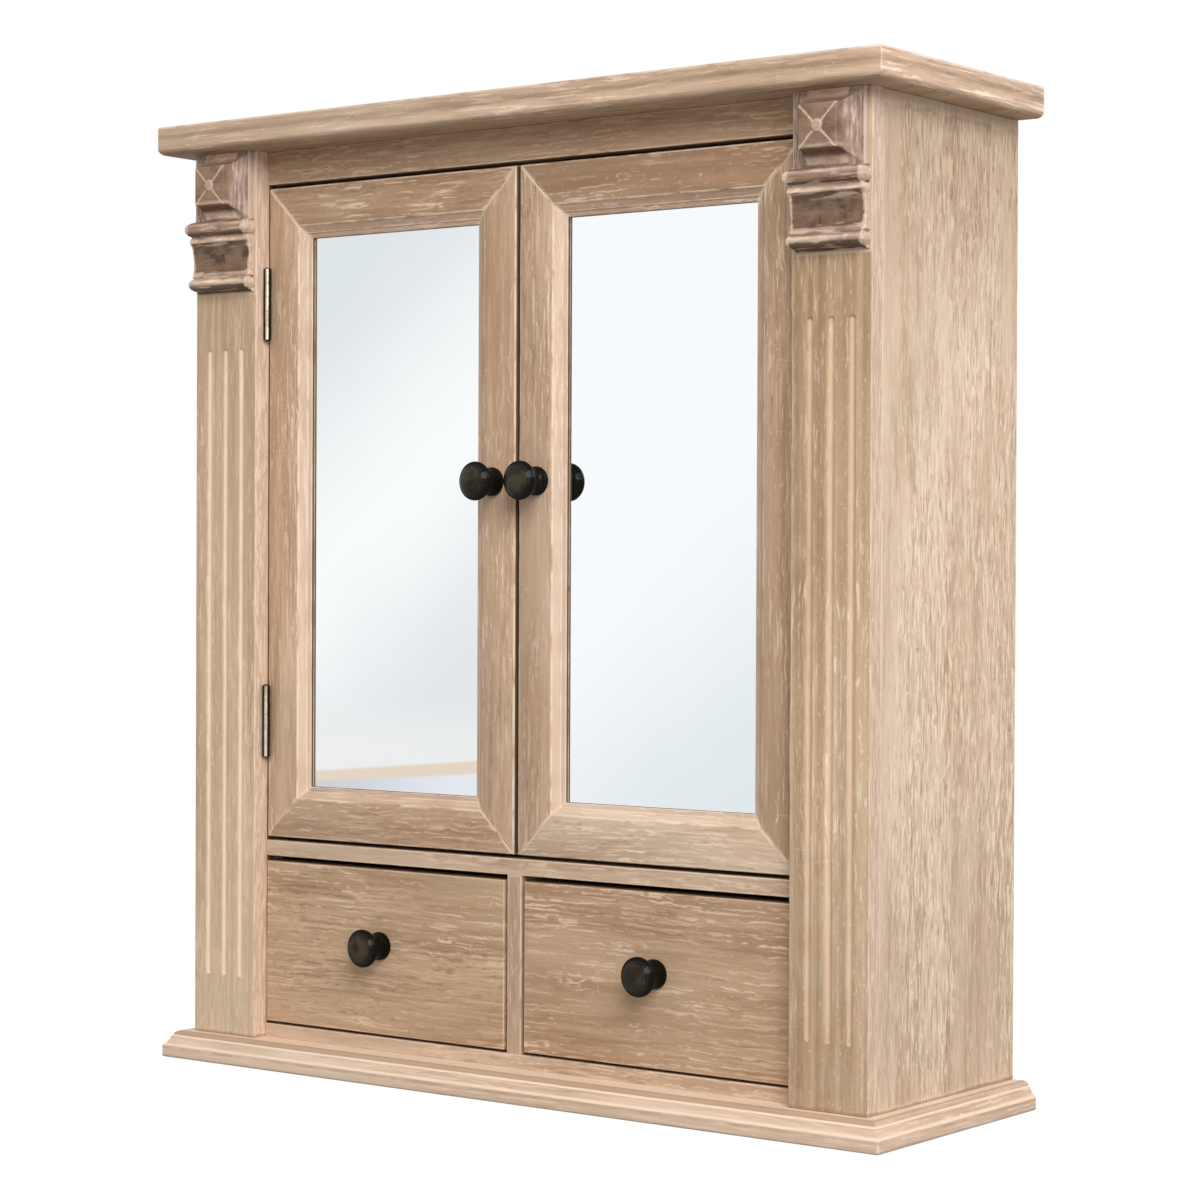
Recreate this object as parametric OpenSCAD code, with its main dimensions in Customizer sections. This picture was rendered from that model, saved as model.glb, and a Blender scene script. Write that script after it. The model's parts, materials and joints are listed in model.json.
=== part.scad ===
// Wall cabinet with two mirrored doors above two drawers, in limed wood.
// Millimetres. X runs to the right, Y into the wall and Z up. The origin lies on the
// wall plane, at the middle of the lower back edge of the base board.
// Paired pieces are drawn on the right-hand side and mirrored for the left.

/* [Cabinet body] */
// Width over the two side panels
body_w = 544; // [500:1:640]
// Depth from the wall to the front of the pilasters
body_d = 173.2; // [155:0.1:220]
// Height from the underside of the base board to the top of the crown board
total_h = 638.6; // [600:0.1:760]
// Thickness of the side panels
side_t = 15; // [13:0.5:18]
// Thickness of the back panel
back_t = 5; // [3:0.5:7]
// Width of the rebate that holds the back panel in each side panel
back_bearing = 8; // [6:0.5:10]

/* [Crown board] */
// Thickness of the crown board
crown_t = 19.4; // [17:0.1:26]
// How far the crown board stands out past each side panel
crown_side = 18; // [10:0.5:26]
// How far the crown board stands out past the pilasters
crown_front = 20; // [17:0.5:30]
// Radius of the rounded lower edge of the crown board
crown_round = 5; // [2:0.5:8]
// Width of the worn upper edge of the crown board
crown_arris = 0.8; // [0.4:0.1:1.5]

/* [Base board] */
// Thickness of the base board
base_t = 17.8; // [16:0.1:24]
// How far the base board stands out past each side panel
base_side = 16.5; // [12:0.5:24]
// How far the base board stands out past the pilasters
base_front = 15; // [12:0.5:24]
// Height of the upright edge of the base board, below its moulding
base_edge_h = 8.3; // [5:0.1:10]
// How far the moulding of the base board runs in from its edge
base_moulding_w = 9.6; // [7:0.1:11]
// Width of each of the two small steps in the moulding of the base board
base_step_w = 1; // [0.8:0.1:1.2]
// How far in from the edge of the base board its upper round starts
base_round_in = 5.6; // [5:0.1:6.2]
// Height of the upper round of the base board
base_round_h = 2.9; // [2:0.1:3.6]

/* [Front frame] */
// Width of each pilaster
pilaster_w = 55.5; // [48:0.5:66]
// Thickness of the pilaster boards
pilaster_t = 12; // [9:0.5:15]
// Thickness of the front frame, and of the doors that close into it
frame_t = 18; // [16:0.5:21]
// Height of the frieze rail above the doors
frieze_h = 22.1; // [18:0.1:36]
// Height of the rail below the drawers
bottom_rail_h = 8.8; // [6:0.1:14]
// Height of the opening for the drawers
drawer_bay_h = 114.6; // [100:0.1:150]
// Thickness of the deck between doors and drawers
deck_t = 10.5; // [9:0.1:15]
// Thickness of the partition between the drawers
partition_t = 11.2; // [9:0.1:15]
// Sideways place of the partition, which is a little off centre
partition_x = -0.9; // [-8:0.1:8]

/* [Pilaster flutes] */
// Number of flutes in each pilaster
flute_count = 3; // [1:1:3]
// Distance from flute to flute
flute_pitch = 14.7; // [10:0.1:16]
// Width of a flute at the face
flute_w = 4.8; // [3:0.1:6.5]
// Depth of a flute
flute_depth = 1.6; // [1:0.1:1.6]
// Height of the flutes' lower ends above the base board
flute_foot = 40; // [20:1:80]
// Distance of the flutes' upper ends below the capitals
flute_head = 38; // [10:1:80]

/* [Capitals] */
// Height of the pyramid block at the top of a capital
block_h = 46.2; // [41:0.1:52]
// Side of the square face of the block
block_face = 26.4; // [20:0.1:30]
// How far the square face stands out from the pilaster
block_out = 17; // [10:0.5:18]
// How far the rim of the block stands out from the pilaster
block_rim_out = 4; // [2:0.5:6]
// How far the block is set in from each edge of the pilaster
block_inset = 2.6; // [0:0.1:4]
// Height of the upper bead of a capital
bead_h = 10.4; // [8:0.1:12]
// How far the upper bead stands out from the pilaster
bead_out = 12.5; // [9:0.5:14]
// How far the upper bead stands out past each edge of the pilaster
bead_side = 0.1; // [0:0.1:2]
// Height of the hollow below the upper bead
hollow_h = 27.6; // [22:0.1:36]
// Height of the lower bead
foot_bead_h = 9.2; // [7:0.1:11]
// How far the lower bead stands out from the pilaster
foot_bead_out = 9.3; // [6:0.1:10]
// Diameter of the round boss at the middle of the block
boss_d = 6.8; // [5:0.1:9]
// Height of the boss
boss_h = 1; // [0.5:0.1:2]
// Width of the grooves of the carved cross
cross_w = 1.3; // [0.8:0.1:2]
// Depth of the grooves of the carved cross
cross_depth = 0.7; // [0.4:0.1:1.2]

/* [Doors] */
// Gap between a door and the frame on the hinge side
door_side_gap = 1.2; // [1:0.1:1.6]
// Gap above the doors
door_top_gap = 2.7; // [1.5:0.1:4]
// Gap below the doors
door_bottom_gap = 2.6; // [1.5:0.1:4]
// Gap between the two doors
door_meeting_gap = 3; // [2.5:0.1:4]
// Width of the flat border of a door frame
border_w = 26.5; // [22:0.5:36]
// Width of the moulding between the border and the mirror
moulding_w = 8.5; // [7:0.1:12]
// Depth of the moulding's inner edge below the face of the door
moulding_drop = 5.2; // [4:0.1:7]
// Depth of the mirror's front below the face of the door
glass_inset = 7.6; // [7:0.1:9]
// Width of the rebate that the mirror lies in
rebate_w = 7.5; // [5:0.1:9]
// Width of the worn outer edge of the door frames
door_arris = 0.7; // [0.3:0.1:1.2]
// Thickness of the mirror
glass_t = 3; // [2:0.5:4]
// Thickness of the backing board behind the mirror
backing_t = 3; // [2:0.5:3.5]
// Play between the mirror and the sides of its rebate
mirror_play = 1; // [0.5:0.1:2]

/* [Hinges] */
// Height of a hinge
hinge_h = 48; // [40:1:60]
// Distance from the end of a door to the middle of a hinge
hinge_inset = 78.6; // [50:0.1:110]
// Radius of the hinge knuckles
knuckle_r = 2.6; // [2.4:0.1:3]
// Radius of the hinge pins
pin_r = 1.5; // [1.2:0.1:1.7]
// Radial clearance of a pin in its knuckles
pin_play = 0.05; // [0.02:0.01:0.09]
// Distance of the pin in front of the face of the doors
pin_front = 3.6; // [3.4:0.1:4.2]
// Thickness of a hinge leaf
leaf_t = 0.8; // [0.7:0.1:1]
// Width of a hinge leaf behind the face of the doors
leaf_w = 14; // [11:0.5:15]
// Gap between the two leaves of a closed hinge
leaf_play = 0.2; // [0.1:0.05:0.4]
// Gap between knuckles, and round them
knuckle_play = 0.3; // [0.2:0.05:0.5]
// Distance between the two screws of a leaf
leaf_screw_spacing = 30; // [24:1:34]
// Length of the small wood screws
small_screw_l = 12; // [9:1:14]
// Radius of the shank of the small wood screws
small_screw_r = 1.2; // [0.9:0.1:1.4]
// Radius of the head of the small wood screws
small_head_r = 2.4; // [2:0.1:2.8]

/* [Knobs] */
// Radius of the head of a knob
knob_r = 12.5; // [10.5:0.1:14]
// Radius of the foot of a knob
knob_foot_r = 9.3; // [8:0.1:11]
// Radius of the neck of a knob
knob_neck_r = 7.6; // [5:0.1:8]
// How far a knob stands out from the wood
knob_out = 24.4; // [21:0.1:28]
// Height of the dome of a knob
knob_dome_h = 5; // [3:0.1:7]
// Distance from the left door's inner edge to its knob's axis
left_knob_inset = 18.3; // [12:0.1:20]
// Distance from the right door's inner edge to its knob's axis
right_knob_inset = 14.8; // [12:0.1:20]
// Height of the door knobs above the lower edge of the doors
knob_z = 238.6; // [120:0.1:300]
// Radius of the bolts that hold the knobs
bolt_r = 2; // [1.5:0.1:2.5]
// How deep the bolts go into the knobs
bolt_grip = 9; // [6:0.5:12]

/* [Drawers] */
// Gap above a drawer front
drawer_top_gap = 3.8; // [2:0.1:5]
// Gap below a drawer front
drawer_bottom_gap = 1.9; // [1:0.1:3]
// Gap between a drawer front and the pilaster
drawer_outer_gap = 0.8; // [0.6:0.1:2]
// Gap between a drawer front and the partition
drawer_inner_gap = 2.6; // [2.2:0.1:4]
// Thickness of the drawer fronts
drawer_front_t = 16; // [14:0.5:19]
// Thickness of the sides and backs of the drawer boxes
drawer_wall_t = 10; // [8:0.5:12]
// Height of the drawer boxes
drawer_wall_h = 102; // [80:1:104]
// Thickness of the drawer bottoms
drawer_bottom_t = 4; // [3:0.5:5]
// Depth of the grooves that hold the drawer bottoms
groove_depth = 4; // [3:0.5:5]
// Height of the drawer bottoms above the lower edge of the box
groove_z = 6; // [4:0.5:12]
// Gap between a drawer box and its runners
drawer_play = 0.3; // [0.3:0.1:0.8]
// Gap behind a closed drawer box
drawer_rear_gap = 0.4; // [0.3:0.1:2]
// Width of the drawer runners
runner_w = 16; // [12:0.5:20]
// Height of the runners' guides above the lower edge of the box
guide_h = 16; // [8:0.5:24]
// Distance of the drawer knobs above the middle of the drawer fronts
drawer_knob_rise = 4.2; // [-10:0.1:10]
// Sideways place of the drawer knobs from the middle of the drawer fronts
drawer_knob_shift = -1.2; // [-8:0.1:8]

/* [Shelf] */
// Thickness of the shelf
shelf_t = 10; // [8:0.5:14]
// Height of the shelf above the deck
shelf_z = 208; // [120:1:280]
// Distance from shelf pin hole to shelf pin hole, up and down
pin_hole_pitch = 32; // [20:1:50]
// Radius of the shelf pins
shelf_pin_r = 2.5; // [2:0.1:3]
// How deep the shelf pins go into the side panels
shelf_pin_in = 8; // [6:0.5:10]
// How far the shelf pins stand out under the shelf
shelf_pin_out = 8; // [5:0.5:12]

/* [Wall fixing] */
// Height of the hanging rail
hang_rail_h = 42; // [34:1:60]
// Thickness of the hanging rail
hang_rail_t = 15; // [12:0.5:18]
// Distance between the two screw holes in the hanging rail
hang_spacing = 400; // [240:1:440]
// Radius of the screw holes in the hanging rail
hang_hole_r = 2.75; // [2:0.05:3.5]

/* [Door catch] */
// Width of the magnetic catch
catch_w = 44; // [38:1:56]
// Depth of the magnetic catch
catch_d = 14; // [11:0.5:18]
// How far the magnetic catch reaches down behind the doors
catch_reach = 16; // [12:0.5:22]
// Thickness of the strike plates
strike_t = 1; // [0.8:0.1:1.5]
// Width of a strike plate
strike_w = 12; // [10:0.5:16]
// Gap between the strike plates and the catch
catch_gap = 0.4; // [0.3:0.1:1]

/* [Hidden] */

$fn = 48;
// How far a cutting shape runs past the face that it cuts
cut = 1;
// Clearance of a hole round a nail, dowel, peg or screw
hole_play = 0.05;
LEFT = -1;
RIGHT = 1;

// Colours of the finishes
limed = [0.76, 0.65, 0.53];
carved = [0.52, 0.40, 0.33];
plain_wood = [0.80, 0.70, 0.56];
board = [0.55, 0.42, 0.30];
silver = [0.86, 0.90, 0.93];
bronze = [0.13, 0.12, 0.10];
steel = [0.62, 0.62, 0.62];
plastic = [0.90, 0.89, 0.86];

// Levels, from the base up
crown_z = total_h - crown_t;
carcass_h = crown_z - base_t;
bay_z = base_t + bottom_rail_h;
deck_z = bay_z + drawer_bay_h;
deck_top = deck_z + deck_t;
frieze_z = crown_z - frieze_h;
door_z0 = deck_top + door_bottom_gap;
door_z1 = frieze_z - door_top_gap;
door_h = door_z1 - door_z0;

// Planes and widths
half_w = body_w / 2;
inner_half = half_w - side_t;
open_half = half_w - pilaster_w;
front_y = -body_d;
face_y = front_y + pilaster_t;
frame_back_y = face_y + frame_t;
door_out = open_half - door_side_gap;
door_in = door_meeting_gap / 2;
door_w = door_out - door_in;
door_mid_x = (door_out + door_in) / 2;
door_mid_z = (door_z0 + door_z1) / 2;
bar_w = border_w + moulding_w;
function knob_x(side) = door_in + (side == LEFT ? left_knob_inset : right_knob_inset);

// Hinges
pin_x = open_half - knuckle_r - leaf_play;
pin_y = face_y - pin_front;
hinge_zs = [door_z0 + hinge_inset, door_z1 - hinge_inset];
pin_head_h = 0.8;
knuckle_count = 5;
knuckle_h = hinge_h / knuckle_count;
door_leaf_x = open_half - 2 * leaf_t - leaf_play;

// Capital: heights below the crown board
bead_z = crown_z - block_h - bead_h;
hollow_z = bead_z - hollow_h;
foot_bead_z = hollow_z - foot_bead_h;
capital_foot = 1.4;
capital_z = foot_bead_z - capital_foot;
block_mid_z = crown_z - block_h / 2;
pilaster_x = half_w - pilaster_w / 2;

// Drawers, as seen on the right-hand side
drawer_z0 = bay_z + drawer_bottom_gap;
drawer_front_h = drawer_bay_h - drawer_top_gap - drawer_bottom_gap;
box_z0 = bay_z + 2 * drawer_play;
box_y0 = face_y + drawer_front_t;
box_y1 = -back_t - drawer_rear_gap;
box_inset = 0.4;
drawer_out = open_half - drawer_outer_gap;
drawer_knob_z = drawer_z0 + drawer_front_h / 2 + drawer_knob_rise;
function bay_in(side) = partition_t / 2 + side * partition_x;
function drawer_in(side) = bay_in(side) + drawer_inner_gap;
function drawer_knob_x(side) =
    (drawer_out + drawer_in(side)) / 2 + side * drawer_knob_shift;

// Small fittings
bolt_head_h = 2.4;
bolt_head_r = 4;
shelf_play = 0.5;
shelf_front_y = frame_back_y + bolt_head_h + 1.5;
shelf_depth = -back_t - 1 - shelf_front_y;
shelf_under_z = deck_top + shelf_z;
shelf_pin_front = 22;
shelf_pin_rear = 25;
shelf_pin_ys = [shelf_front_y + shelf_pin_front, -back_t - shelf_pin_rear];
catch_front_y = frame_back_y + strike_t + catch_gap;
strike_x = catch_w / 2 - strike_w / 2 - 0.5;
strike_z = door_z1 - catch_reach / 2;
catch_screw_x = catch_w / 2 - 5;
base_screw_l = 42;
base_screw_r = 2;
base_head_r = 4;
base_screw_sunk = 0.4;
dowel_r = 4;
dowel_l = 28;
dowel_ys = [-body_d * 0.25, -body_d * 0.7];
nail_r = 0.8;
nail_head_r = 1.6;
nail_head_h = 0.8;
nail_sunk = 0.2;
nail_l = 20;
nail_count = 6;
nail_x = inner_half + back_bearing / 2;
point_l = 9;
point_bite = 3.6;
point_w = 4;
point_t = 0.6;

// Draws the children on the given side
module sided(side) {
    mirror([side < 0 ? 1 : 0, 0, 0]) children();
}

// A box given by its lowest and highest corners
module block(low, high) {
    translate(low) cube(high - low);
}

// Points along an elliptical arc
function arc_points(centre, rx, ry, a0, a1, steps) =
    [for (i = [0:steps]) let (a = a0 + (a1 - a0) * i / steps)
        [centre[0] + rx * cos(a), centre[1] + ry * sin(a)]];

// A board whose front and side edges carry the same moulding. The section is a list of
// [inset from the edge, height], read upwards.
module moulded_board(half, depth, section) {
    low = section[0][1];
    high = section[len(section) - 1][1];
    intersection() {
        translate([0, cut, 0]) rotate([90, 0, 0]) linear_extrude(depth + 2 * cut)
            polygon(concat([for (p = section) [half - p[0], p[1]]],
                           [for (i = [len(section) - 1:-1:0]) [section[i][0] - half, section[i][1]]]));
        rotate([90, 0, 90]) linear_extrude(2 * half + 2 * cut, center = true)
            polygon(concat([[0, low]], [for (p = section) [p[0] - depth, p[1]]], [[0, high]]));
    }
}

// Section of the crown board: a rounded lower edge, a flat fascia and a worn upper edge
function crown_section() = concat(
    arc_points([crown_round, crown_z + crown_round], crown_round, crown_round, 270, 180, 8),
    [[0, total_h - crown_arris], [crown_arris, total_h]]);

// Section of the base board: an upright edge, a step, a hollow, a second step and a round
function base_section() = let (
    low = [base_step_w, base_edge_h + 0.5],
    high = [base_round_in - base_step_w, base_t - base_round_h - 0.3],
    hollow = high - low)
    concat([[0.8, 0], [0, 0.8], [0, base_edge_h]],
           [for (a = [0:15:90]) low + [hollow[0] * (sin(a) + a / 90) / 2,
                                       hollow[1] * (1 - cos(a) + a / 90) / 2]],
           arc_points([base_moulding_w, base_t - base_round_h],
                      base_moulding_w - base_round_in, base_round_h, 180, 90, 6));

// A countersunk wood screw with its head's face at the origin, pointing down
module wood_screw(length, r, head_r, play = 0) {
    head_h = head_r - r;
    translate([0, 0, -head_h]) cylinder(h = head_h, r1 = r + play, r2 = head_r + play);
    translate([0, 0, -length + r]) cylinder(h = length - head_h - r, r = r + play);
    translate([0, 0, -length]) cylinder(h = r, r1 = r * 0.2, r2 = r + play);
}

module small_screw(play = 0) {
    wood_screw(small_screw_l, small_screw_r, small_head_r, play);
}

module small_screw_hole() {
    small_screw(hole_play);
    cylinder(h = cut, r = small_head_r + hole_play);
}

// Places of the screws in the base board, which go up into the sides and the partition
base_screw_places = [
    [-half_w + side_t / 2, -body_d * 0.2], [-half_w + side_t / 2, -body_d * 0.7],
    [half_w - side_t / 2, -body_d * 0.2], [half_w - side_t / 2, -body_d * 0.7],
    [partition_x, -body_d * 0.2], [partition_x, -body_d * 0.6]
];

module base_screw_set(play = 0) {
    for (p = base_screw_places)
        translate([p[0], p[1], base_screw_sunk]) mirror([0, 0, 1])
            wood_screw(base_screw_l, base_screw_r, base_head_r, play);
}

module dowel_set(play = 0) {
    for (side = [LEFT, RIGHT], y = dowel_ys)
        translate([side * (half_w - side_t / 2), y, crown_z - dowel_l / 2 - play])
            cylinder(h = dowel_l + 2 * play, r = dowel_r + play);
}

module nail_set(play = 0) {
    for (side = [LEFT, RIGHT], i = [0:nail_count - 1])
        translate([side * nail_x, 0, base_t + carcass_h * (i + 0.5) / nail_count])
            rotate([90, 0, 0]) translate([0, 0, nail_sunk]) {
                open = play > 0 ? cut : 0;
                translate([0, 0, -open]) cylinder(h = open + nail_head_h + play, r = nail_head_r + play);
                cylinder(h = nail_l + play, r = nail_r + play);
            }
}

module hang_holes() {
    for (side = [LEFT, RIGHT])
        translate([side * hang_spacing / 2, cut, crown_z - hang_rail_h / 2])
            rotate([90, 0, 0]) cylinder(h = back_t + hang_rail_t + 2 * cut, r = hang_hole_r);
}

// Carcass

module crown_board() {
    color(limed) difference() {
        moulded_board(half_w + crown_side, body_d + crown_front, crown_section());
        dowel_set(hole_play);
    }
}

module base_board() {
    color(limed) difference() {
        moulded_board(half_w + base_side, body_d + base_front, base_section());
        base_screw_set(hole_play);
        for (p = base_screw_places)
            translate([p[0], p[1], -cut])
                cylinder(h = cut + base_screw_sunk + hole_play, r = base_head_r + hole_play);
    }
}

module side_panel() {
    difference() {
        block([inner_half, face_y, base_t], [half_w, 0, crown_z]);
        block([inner_half - cut, -back_t, base_t - cut],
              [inner_half + back_bearing, cut, crown_z + cut]);
        for (y = shelf_pin_ys, i = [-1:1])
            translate([inner_half - cut, y, shelf_under_z - shelf_pin_r + i * pin_hole_pitch])
                rotate([0, 90, 0])
                    cylinder(h = shelf_pin_in + cut + hole_play, r = shelf_pin_r + hole_play);
        base_screw_set(hole_play);
        dowel_set(hole_play);
        nail_set(hole_play);
    }
}

module left_side_panel() {
    color(limed) sided(LEFT) side_panel();
}

module right_side_panel() {
    color(limed) side_panel();
}

module back_panel() {
    color(board) difference() {
        block([-inner_half - back_bearing, -back_t, base_t],
              [inner_half + back_bearing, 0, crown_z]);
        hang_holes();
        nail_set(hole_play);
    }
}

module hanging_rail() {
    color(plain_wood) difference() {
        block([-inner_half, -back_t - hang_rail_t, crown_z - hang_rail_h],
              [inner_half, -back_t, crown_z]);
        hang_holes();
    }
}

module deck_board() {
    color(limed) union() {
        block([-open_half, face_y, deck_z], [open_half, -back_t, deck_top]);
        for (side = [LEFT, RIGHT])
            sided(side) block([open_half, frame_back_y, deck_z], [inner_half, -back_t, deck_top]);
    }
}

module frieze_rail() {
    color(limed) difference() {
        block([-open_half, face_y, frieze_z], [open_half, frame_back_y, crown_z]);
        catch_screws(hole_play);
    }
}

module bottom_rail() {
    color(limed) block([-open_half, face_y, base_t], [open_half, frame_back_y, bay_z]);
}

module frame_stile() {
    difference() {
        block([open_half, face_y, base_t], [inner_half, frame_back_y, crown_z]);
        leaf_screws(open_half - leaf_t, 1) small_screw_hole();
    }
}

module left_frame_stile() {
    color(limed) sided(LEFT) frame_stile();
}

module right_frame_stile() {
    color(limed) frame_stile();
}

// A round-bottomed flute with ball ends, cut into the face of a pilaster
module flute(low_z, high_z) {
    r = (flute_w * flute_w / 4 + flute_depth * flute_depth) / (2 * flute_depth);
    end = flute_w / 2;
    translate([0, front_y + flute_depth - r, low_z + end]) {
        cylinder(h = high_z - low_z - 2 * end, r = r);
        sphere(r = r);
        translate([0, 0, high_z - low_z - 2 * end]) sphere(r = r);
    }
}

module pilaster() {
    difference() {
        block([open_half, front_y, base_t], [half_w, face_y, crown_z]);
        for (i = [0:flute_count - 1])
            translate([pilaster_x + (i - (flute_count - 1) / 2) * flute_pitch, 0, 0])
                flute(base_t + flute_foot, capital_z - flute_head);
    }
}

module left_pilaster() {
    color(limed) sided(LEFT) pilaster();
}

module right_pilaster() {
    color(limed) pilaster();
}

// Section of a capital below its block, as [distance out, distance past the edge, height]
function capital_section() = let (
    mid = hollow_z + hollow_h * 0.5,
    bead_r = bead_h / 2,
    foot_r = foot_bead_h / 2,
    bead_core = bead_out - bead_r,
    foot_core = foot_bead_out - foot_r)
    concat(
        [[1.6, -1.4, capital_z], [1.6, -1.4, foot_bead_z - 0.3]],
        [for (a = [-75:30:75]) [foot_core + foot_r * cos(a), foot_r * (cos(a) - 1) - 0.7,
                                foot_bead_z + foot_r * (1 + sin(a))]],
        [[6, -1.1, hollow_z + 0.3], [5.3, -1.3, hollow_z + 2], [4.7, -1.5, hollow_z + 5],
         [4.5, -1.5, mid - 5], [4.8, -1.4, mid], [5.3, -1.2, mid + 4.5]],
        [[5.9, -0.9, bead_z - 6.5], [6.9, -0.8, bead_z - 4.6], [8, -0.6, bead_z - 3.6],
         [8, -0.6, bead_z - 2.6], [7.4, -0.8, bead_z - 2.2], [7.4, -0.8, bead_z - 0.8]],
        [for (a = [-75:30:75]) [bead_core + bead_r * cos(a), bead_side + bead_r * (cos(a) - 1),
                                bead_z + bead_r * (1 + sin(a))]],
        [[4, -1.4, bead_z + bead_h + 0.2], [4, -1.4, bead_z + bead_h + 1]]);

// The moulded part of a capital, which wraps round its two ends
module capital_moulding() {
    section = capital_section();
    n = len(section);
    intersection() {
        translate([0, face_y, 0]) rotate([90, 0, 0]) linear_extrude(pilaster_t + block_out + cut)
            polygon(concat([for (s = section) [pilaster_w / 2 + s[1], s[2]]],
                           [for (i = [n - 1:-1:0]) [-pilaster_w / 2 - section[i][1], section[i][2]]]));
        translate([0, front_y, 0]) rotate([90, 0, -90])
            linear_extrude(pilaster_w + 2 * bead_side + 2 * cut, center = true)
                polygon(concat([[0, capital_z]], [for (s = section) [s[0], s[2]]],
                               [[0, section[n - 1][2]]]));
    }
}

// Outline across the block: a flat face between two hollows, down to a thin rim
function hollow_sides(half, face_half, steps) = let (w = half - face_half, d = block_out - block_rim_out)
    concat([[-half, 0]],
           [for (i = [0:steps]) let (a = 90 * i / steps)
               [-half + w * sin(a), block_out - d * cos(a)]],
           [for (i = [steps:-1:0]) let (a = 90 * i / steps)
               [half - w * sin(a), block_out - d * cos(a)]],
           [[half, 0]]);

// The pyramid block of a capital, carved with a cross and a round boss
module capital_block() {
    half = pilaster_w / 2 - block_inset;
    reach = block_face * 0.68;
    translate([0, front_y, block_mid_z]) {
        difference() {
            intersection() {
                mirror([0, 1, 0]) linear_extrude(block_h, center = true)
                    polygon(hollow_sides(half, block_face / 2, 8));
                rotate([90, 0, -90]) linear_extrude(2 * half + 2 * cut, center = true)
                    polygon([for (p = hollow_sides(block_h / 2, block_face / 2, 8)) [p[1], p[0]]]);
            }
            for (turn = [-45, 45])
                rotate([0, turn, 0])
                    translate([-cross_w / 2, -block_out - cut, -reach])
                        cube([cross_w, cross_depth + cut, 2 * reach]);
        }
        translate([0, -block_out + cross_depth + cut, 0]) rotate([90, 0, 0])
            cylinder(h = cross_depth + cut + boss_h, r = boss_d / 2);
    }
}

module capital() {
    translate([pilaster_x, 0, 0]) union() {
        capital_moulding();
        capital_block();
    }
}

module left_capital() {
    color(carved) sided(LEFT) capital();
}

module right_capital() {
    color(carved) capital();
}

module drawer_partition() {
    color(limed) difference() {
        block([partition_x - partition_t / 2, face_y, base_t],
              [partition_x + partition_t / 2, -back_t, deck_z]);
        block([partition_x - partition_t / 2 - cut, face_y - cut, base_t - cut],
              [partition_x + partition_t / 2 + cut, frame_back_y, bay_z]);
        base_screw_set(hole_play);
    }
}

// A runner that carries one edge of a drawer box, with a guide that keeps it straight
module runner(box_edge, wall_x) {
    inward = box_edge > wall_x ? 1 : -1;
    guide_edge = box_edge - inward * drawer_play;
    foot_edge = guide_edge + inward * runner_w;
    union() {
        block([min(wall_x, foot_edge), frame_back_y, base_t],
              [max(wall_x, foot_edge), -back_t, box_z0 - drawer_play]);
        block([min(wall_x, guide_edge), frame_back_y, base_t],
              [max(wall_x, guide_edge), -back_t, box_z0 + guide_h]);
    }
}

module drawer_runners() {
    color(plain_wood) for (side = [LEFT, RIGHT])
        sided(side) {
            runner(drawer_out - box_inset, drawer_out + drawer_outer_gap + 6);
            runner(drawer_in(side) + box_inset, bay_in(side));
        }
}

module shelf() {
    color(limed) block([-inner_half + shelf_play, shelf_front_y, shelf_under_z],
                       [inner_half - shelf_play, shelf_front_y + shelf_depth, shelf_under_z + shelf_t]);
}

module shelf_pins() {
    color(steel) for (side = [LEFT, RIGHT], y = shelf_pin_ys)
        translate([side * (inner_half - shelf_pin_out), y, shelf_under_z - shelf_pin_r])
            rotate([0, side * 90, 0]) cylinder(h = shelf_pin_out + shelf_pin_in, r = shelf_pin_r);
}

module catch_screws(play = 0) {
    for (side = [LEFT, RIGHT])
        translate([side * catch_screw_x, catch_front_y + catch_d, (frieze_z + crown_z) / 2])
            rotate([-90, 0, 0])
                wood_screw(catch_d + small_screw_l, small_screw_r, small_head_r, play);
}

module magnetic_catch() {
    color(plastic) difference() {
        union() {
            block([-catch_w / 2, catch_front_y, door_z1 - catch_reach],
                  [catch_w / 2, catch_front_y + catch_d, crown_z - 3]);
            block([-catch_w / 2, frame_back_y, frieze_z + 0.4],
                  [catch_w / 2, catch_front_y + cut, crown_z - 3]);
        }
        catch_screws(hole_play);
    }
}

module base_screws() {
    color(steel) base_screw_set();
}

module crown_dowels() {
    color(plain_wood) dowel_set();
}

module back_nails() {
    color(steel) nail_set();
}

// Hinges

// Places the children at every screw of the leaves on one side, pointing outwards or inwards
module leaf_screws(face_x, outward) {
    for (z = hinge_zs, i = [LEFT, RIGHT])
        translate([face_x, face_y + leaf_w * 0.55, z + i * leaf_screw_spacing / 2])
            rotate([0, -90 * outward, 0]) children();
}

// One leaf with its share of the knuckles: the even ones if first is 0, or the odd ones
module hinge_leaf(leaf_x, first) {
    others = [1 - first:2:knuckle_count - 1];
    difference() {
        union() {
            block([leaf_x, pin_y, -hinge_h / 2], [leaf_x + leaf_t, face_y + leaf_w, hinge_h / 2]);
            translate([pin_x, pin_y, -hinge_h / 2])
                for (i = [first:2:knuckle_count - 1])
                    translate([0, 0, i * knuckle_h]) cylinder(h = knuckle_h, r = knuckle_r);
        }
        translate([pin_x, pin_y, -hinge_h / 2]) {
            for (i = others)
                translate([0, 0, i * knuckle_h - knuckle_play / 2])
                    cylinder(h = knuckle_h + knuckle_play, r = knuckle_r + knuckle_play);
            translate([0, 0, -cut]) cylinder(h = hinge_h + 2 * cut, r = pin_r + pin_play);
        }
    }
}

module leaf_pair(leaf_x, first, face_x, outward) {
    difference() {
        for (z = hinge_zs) translate([0, 0, z]) hinge_leaf(leaf_x, first);
        leaf_screws(face_x, outward) small_screw_hole();
    }
}

module hinge_frame_leaves() {
    color(bronze) for (side = [LEFT, RIGHT])
        sided(side) leaf_pair(open_half - leaf_t, 0, open_half - leaf_t, 1);
}

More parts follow.
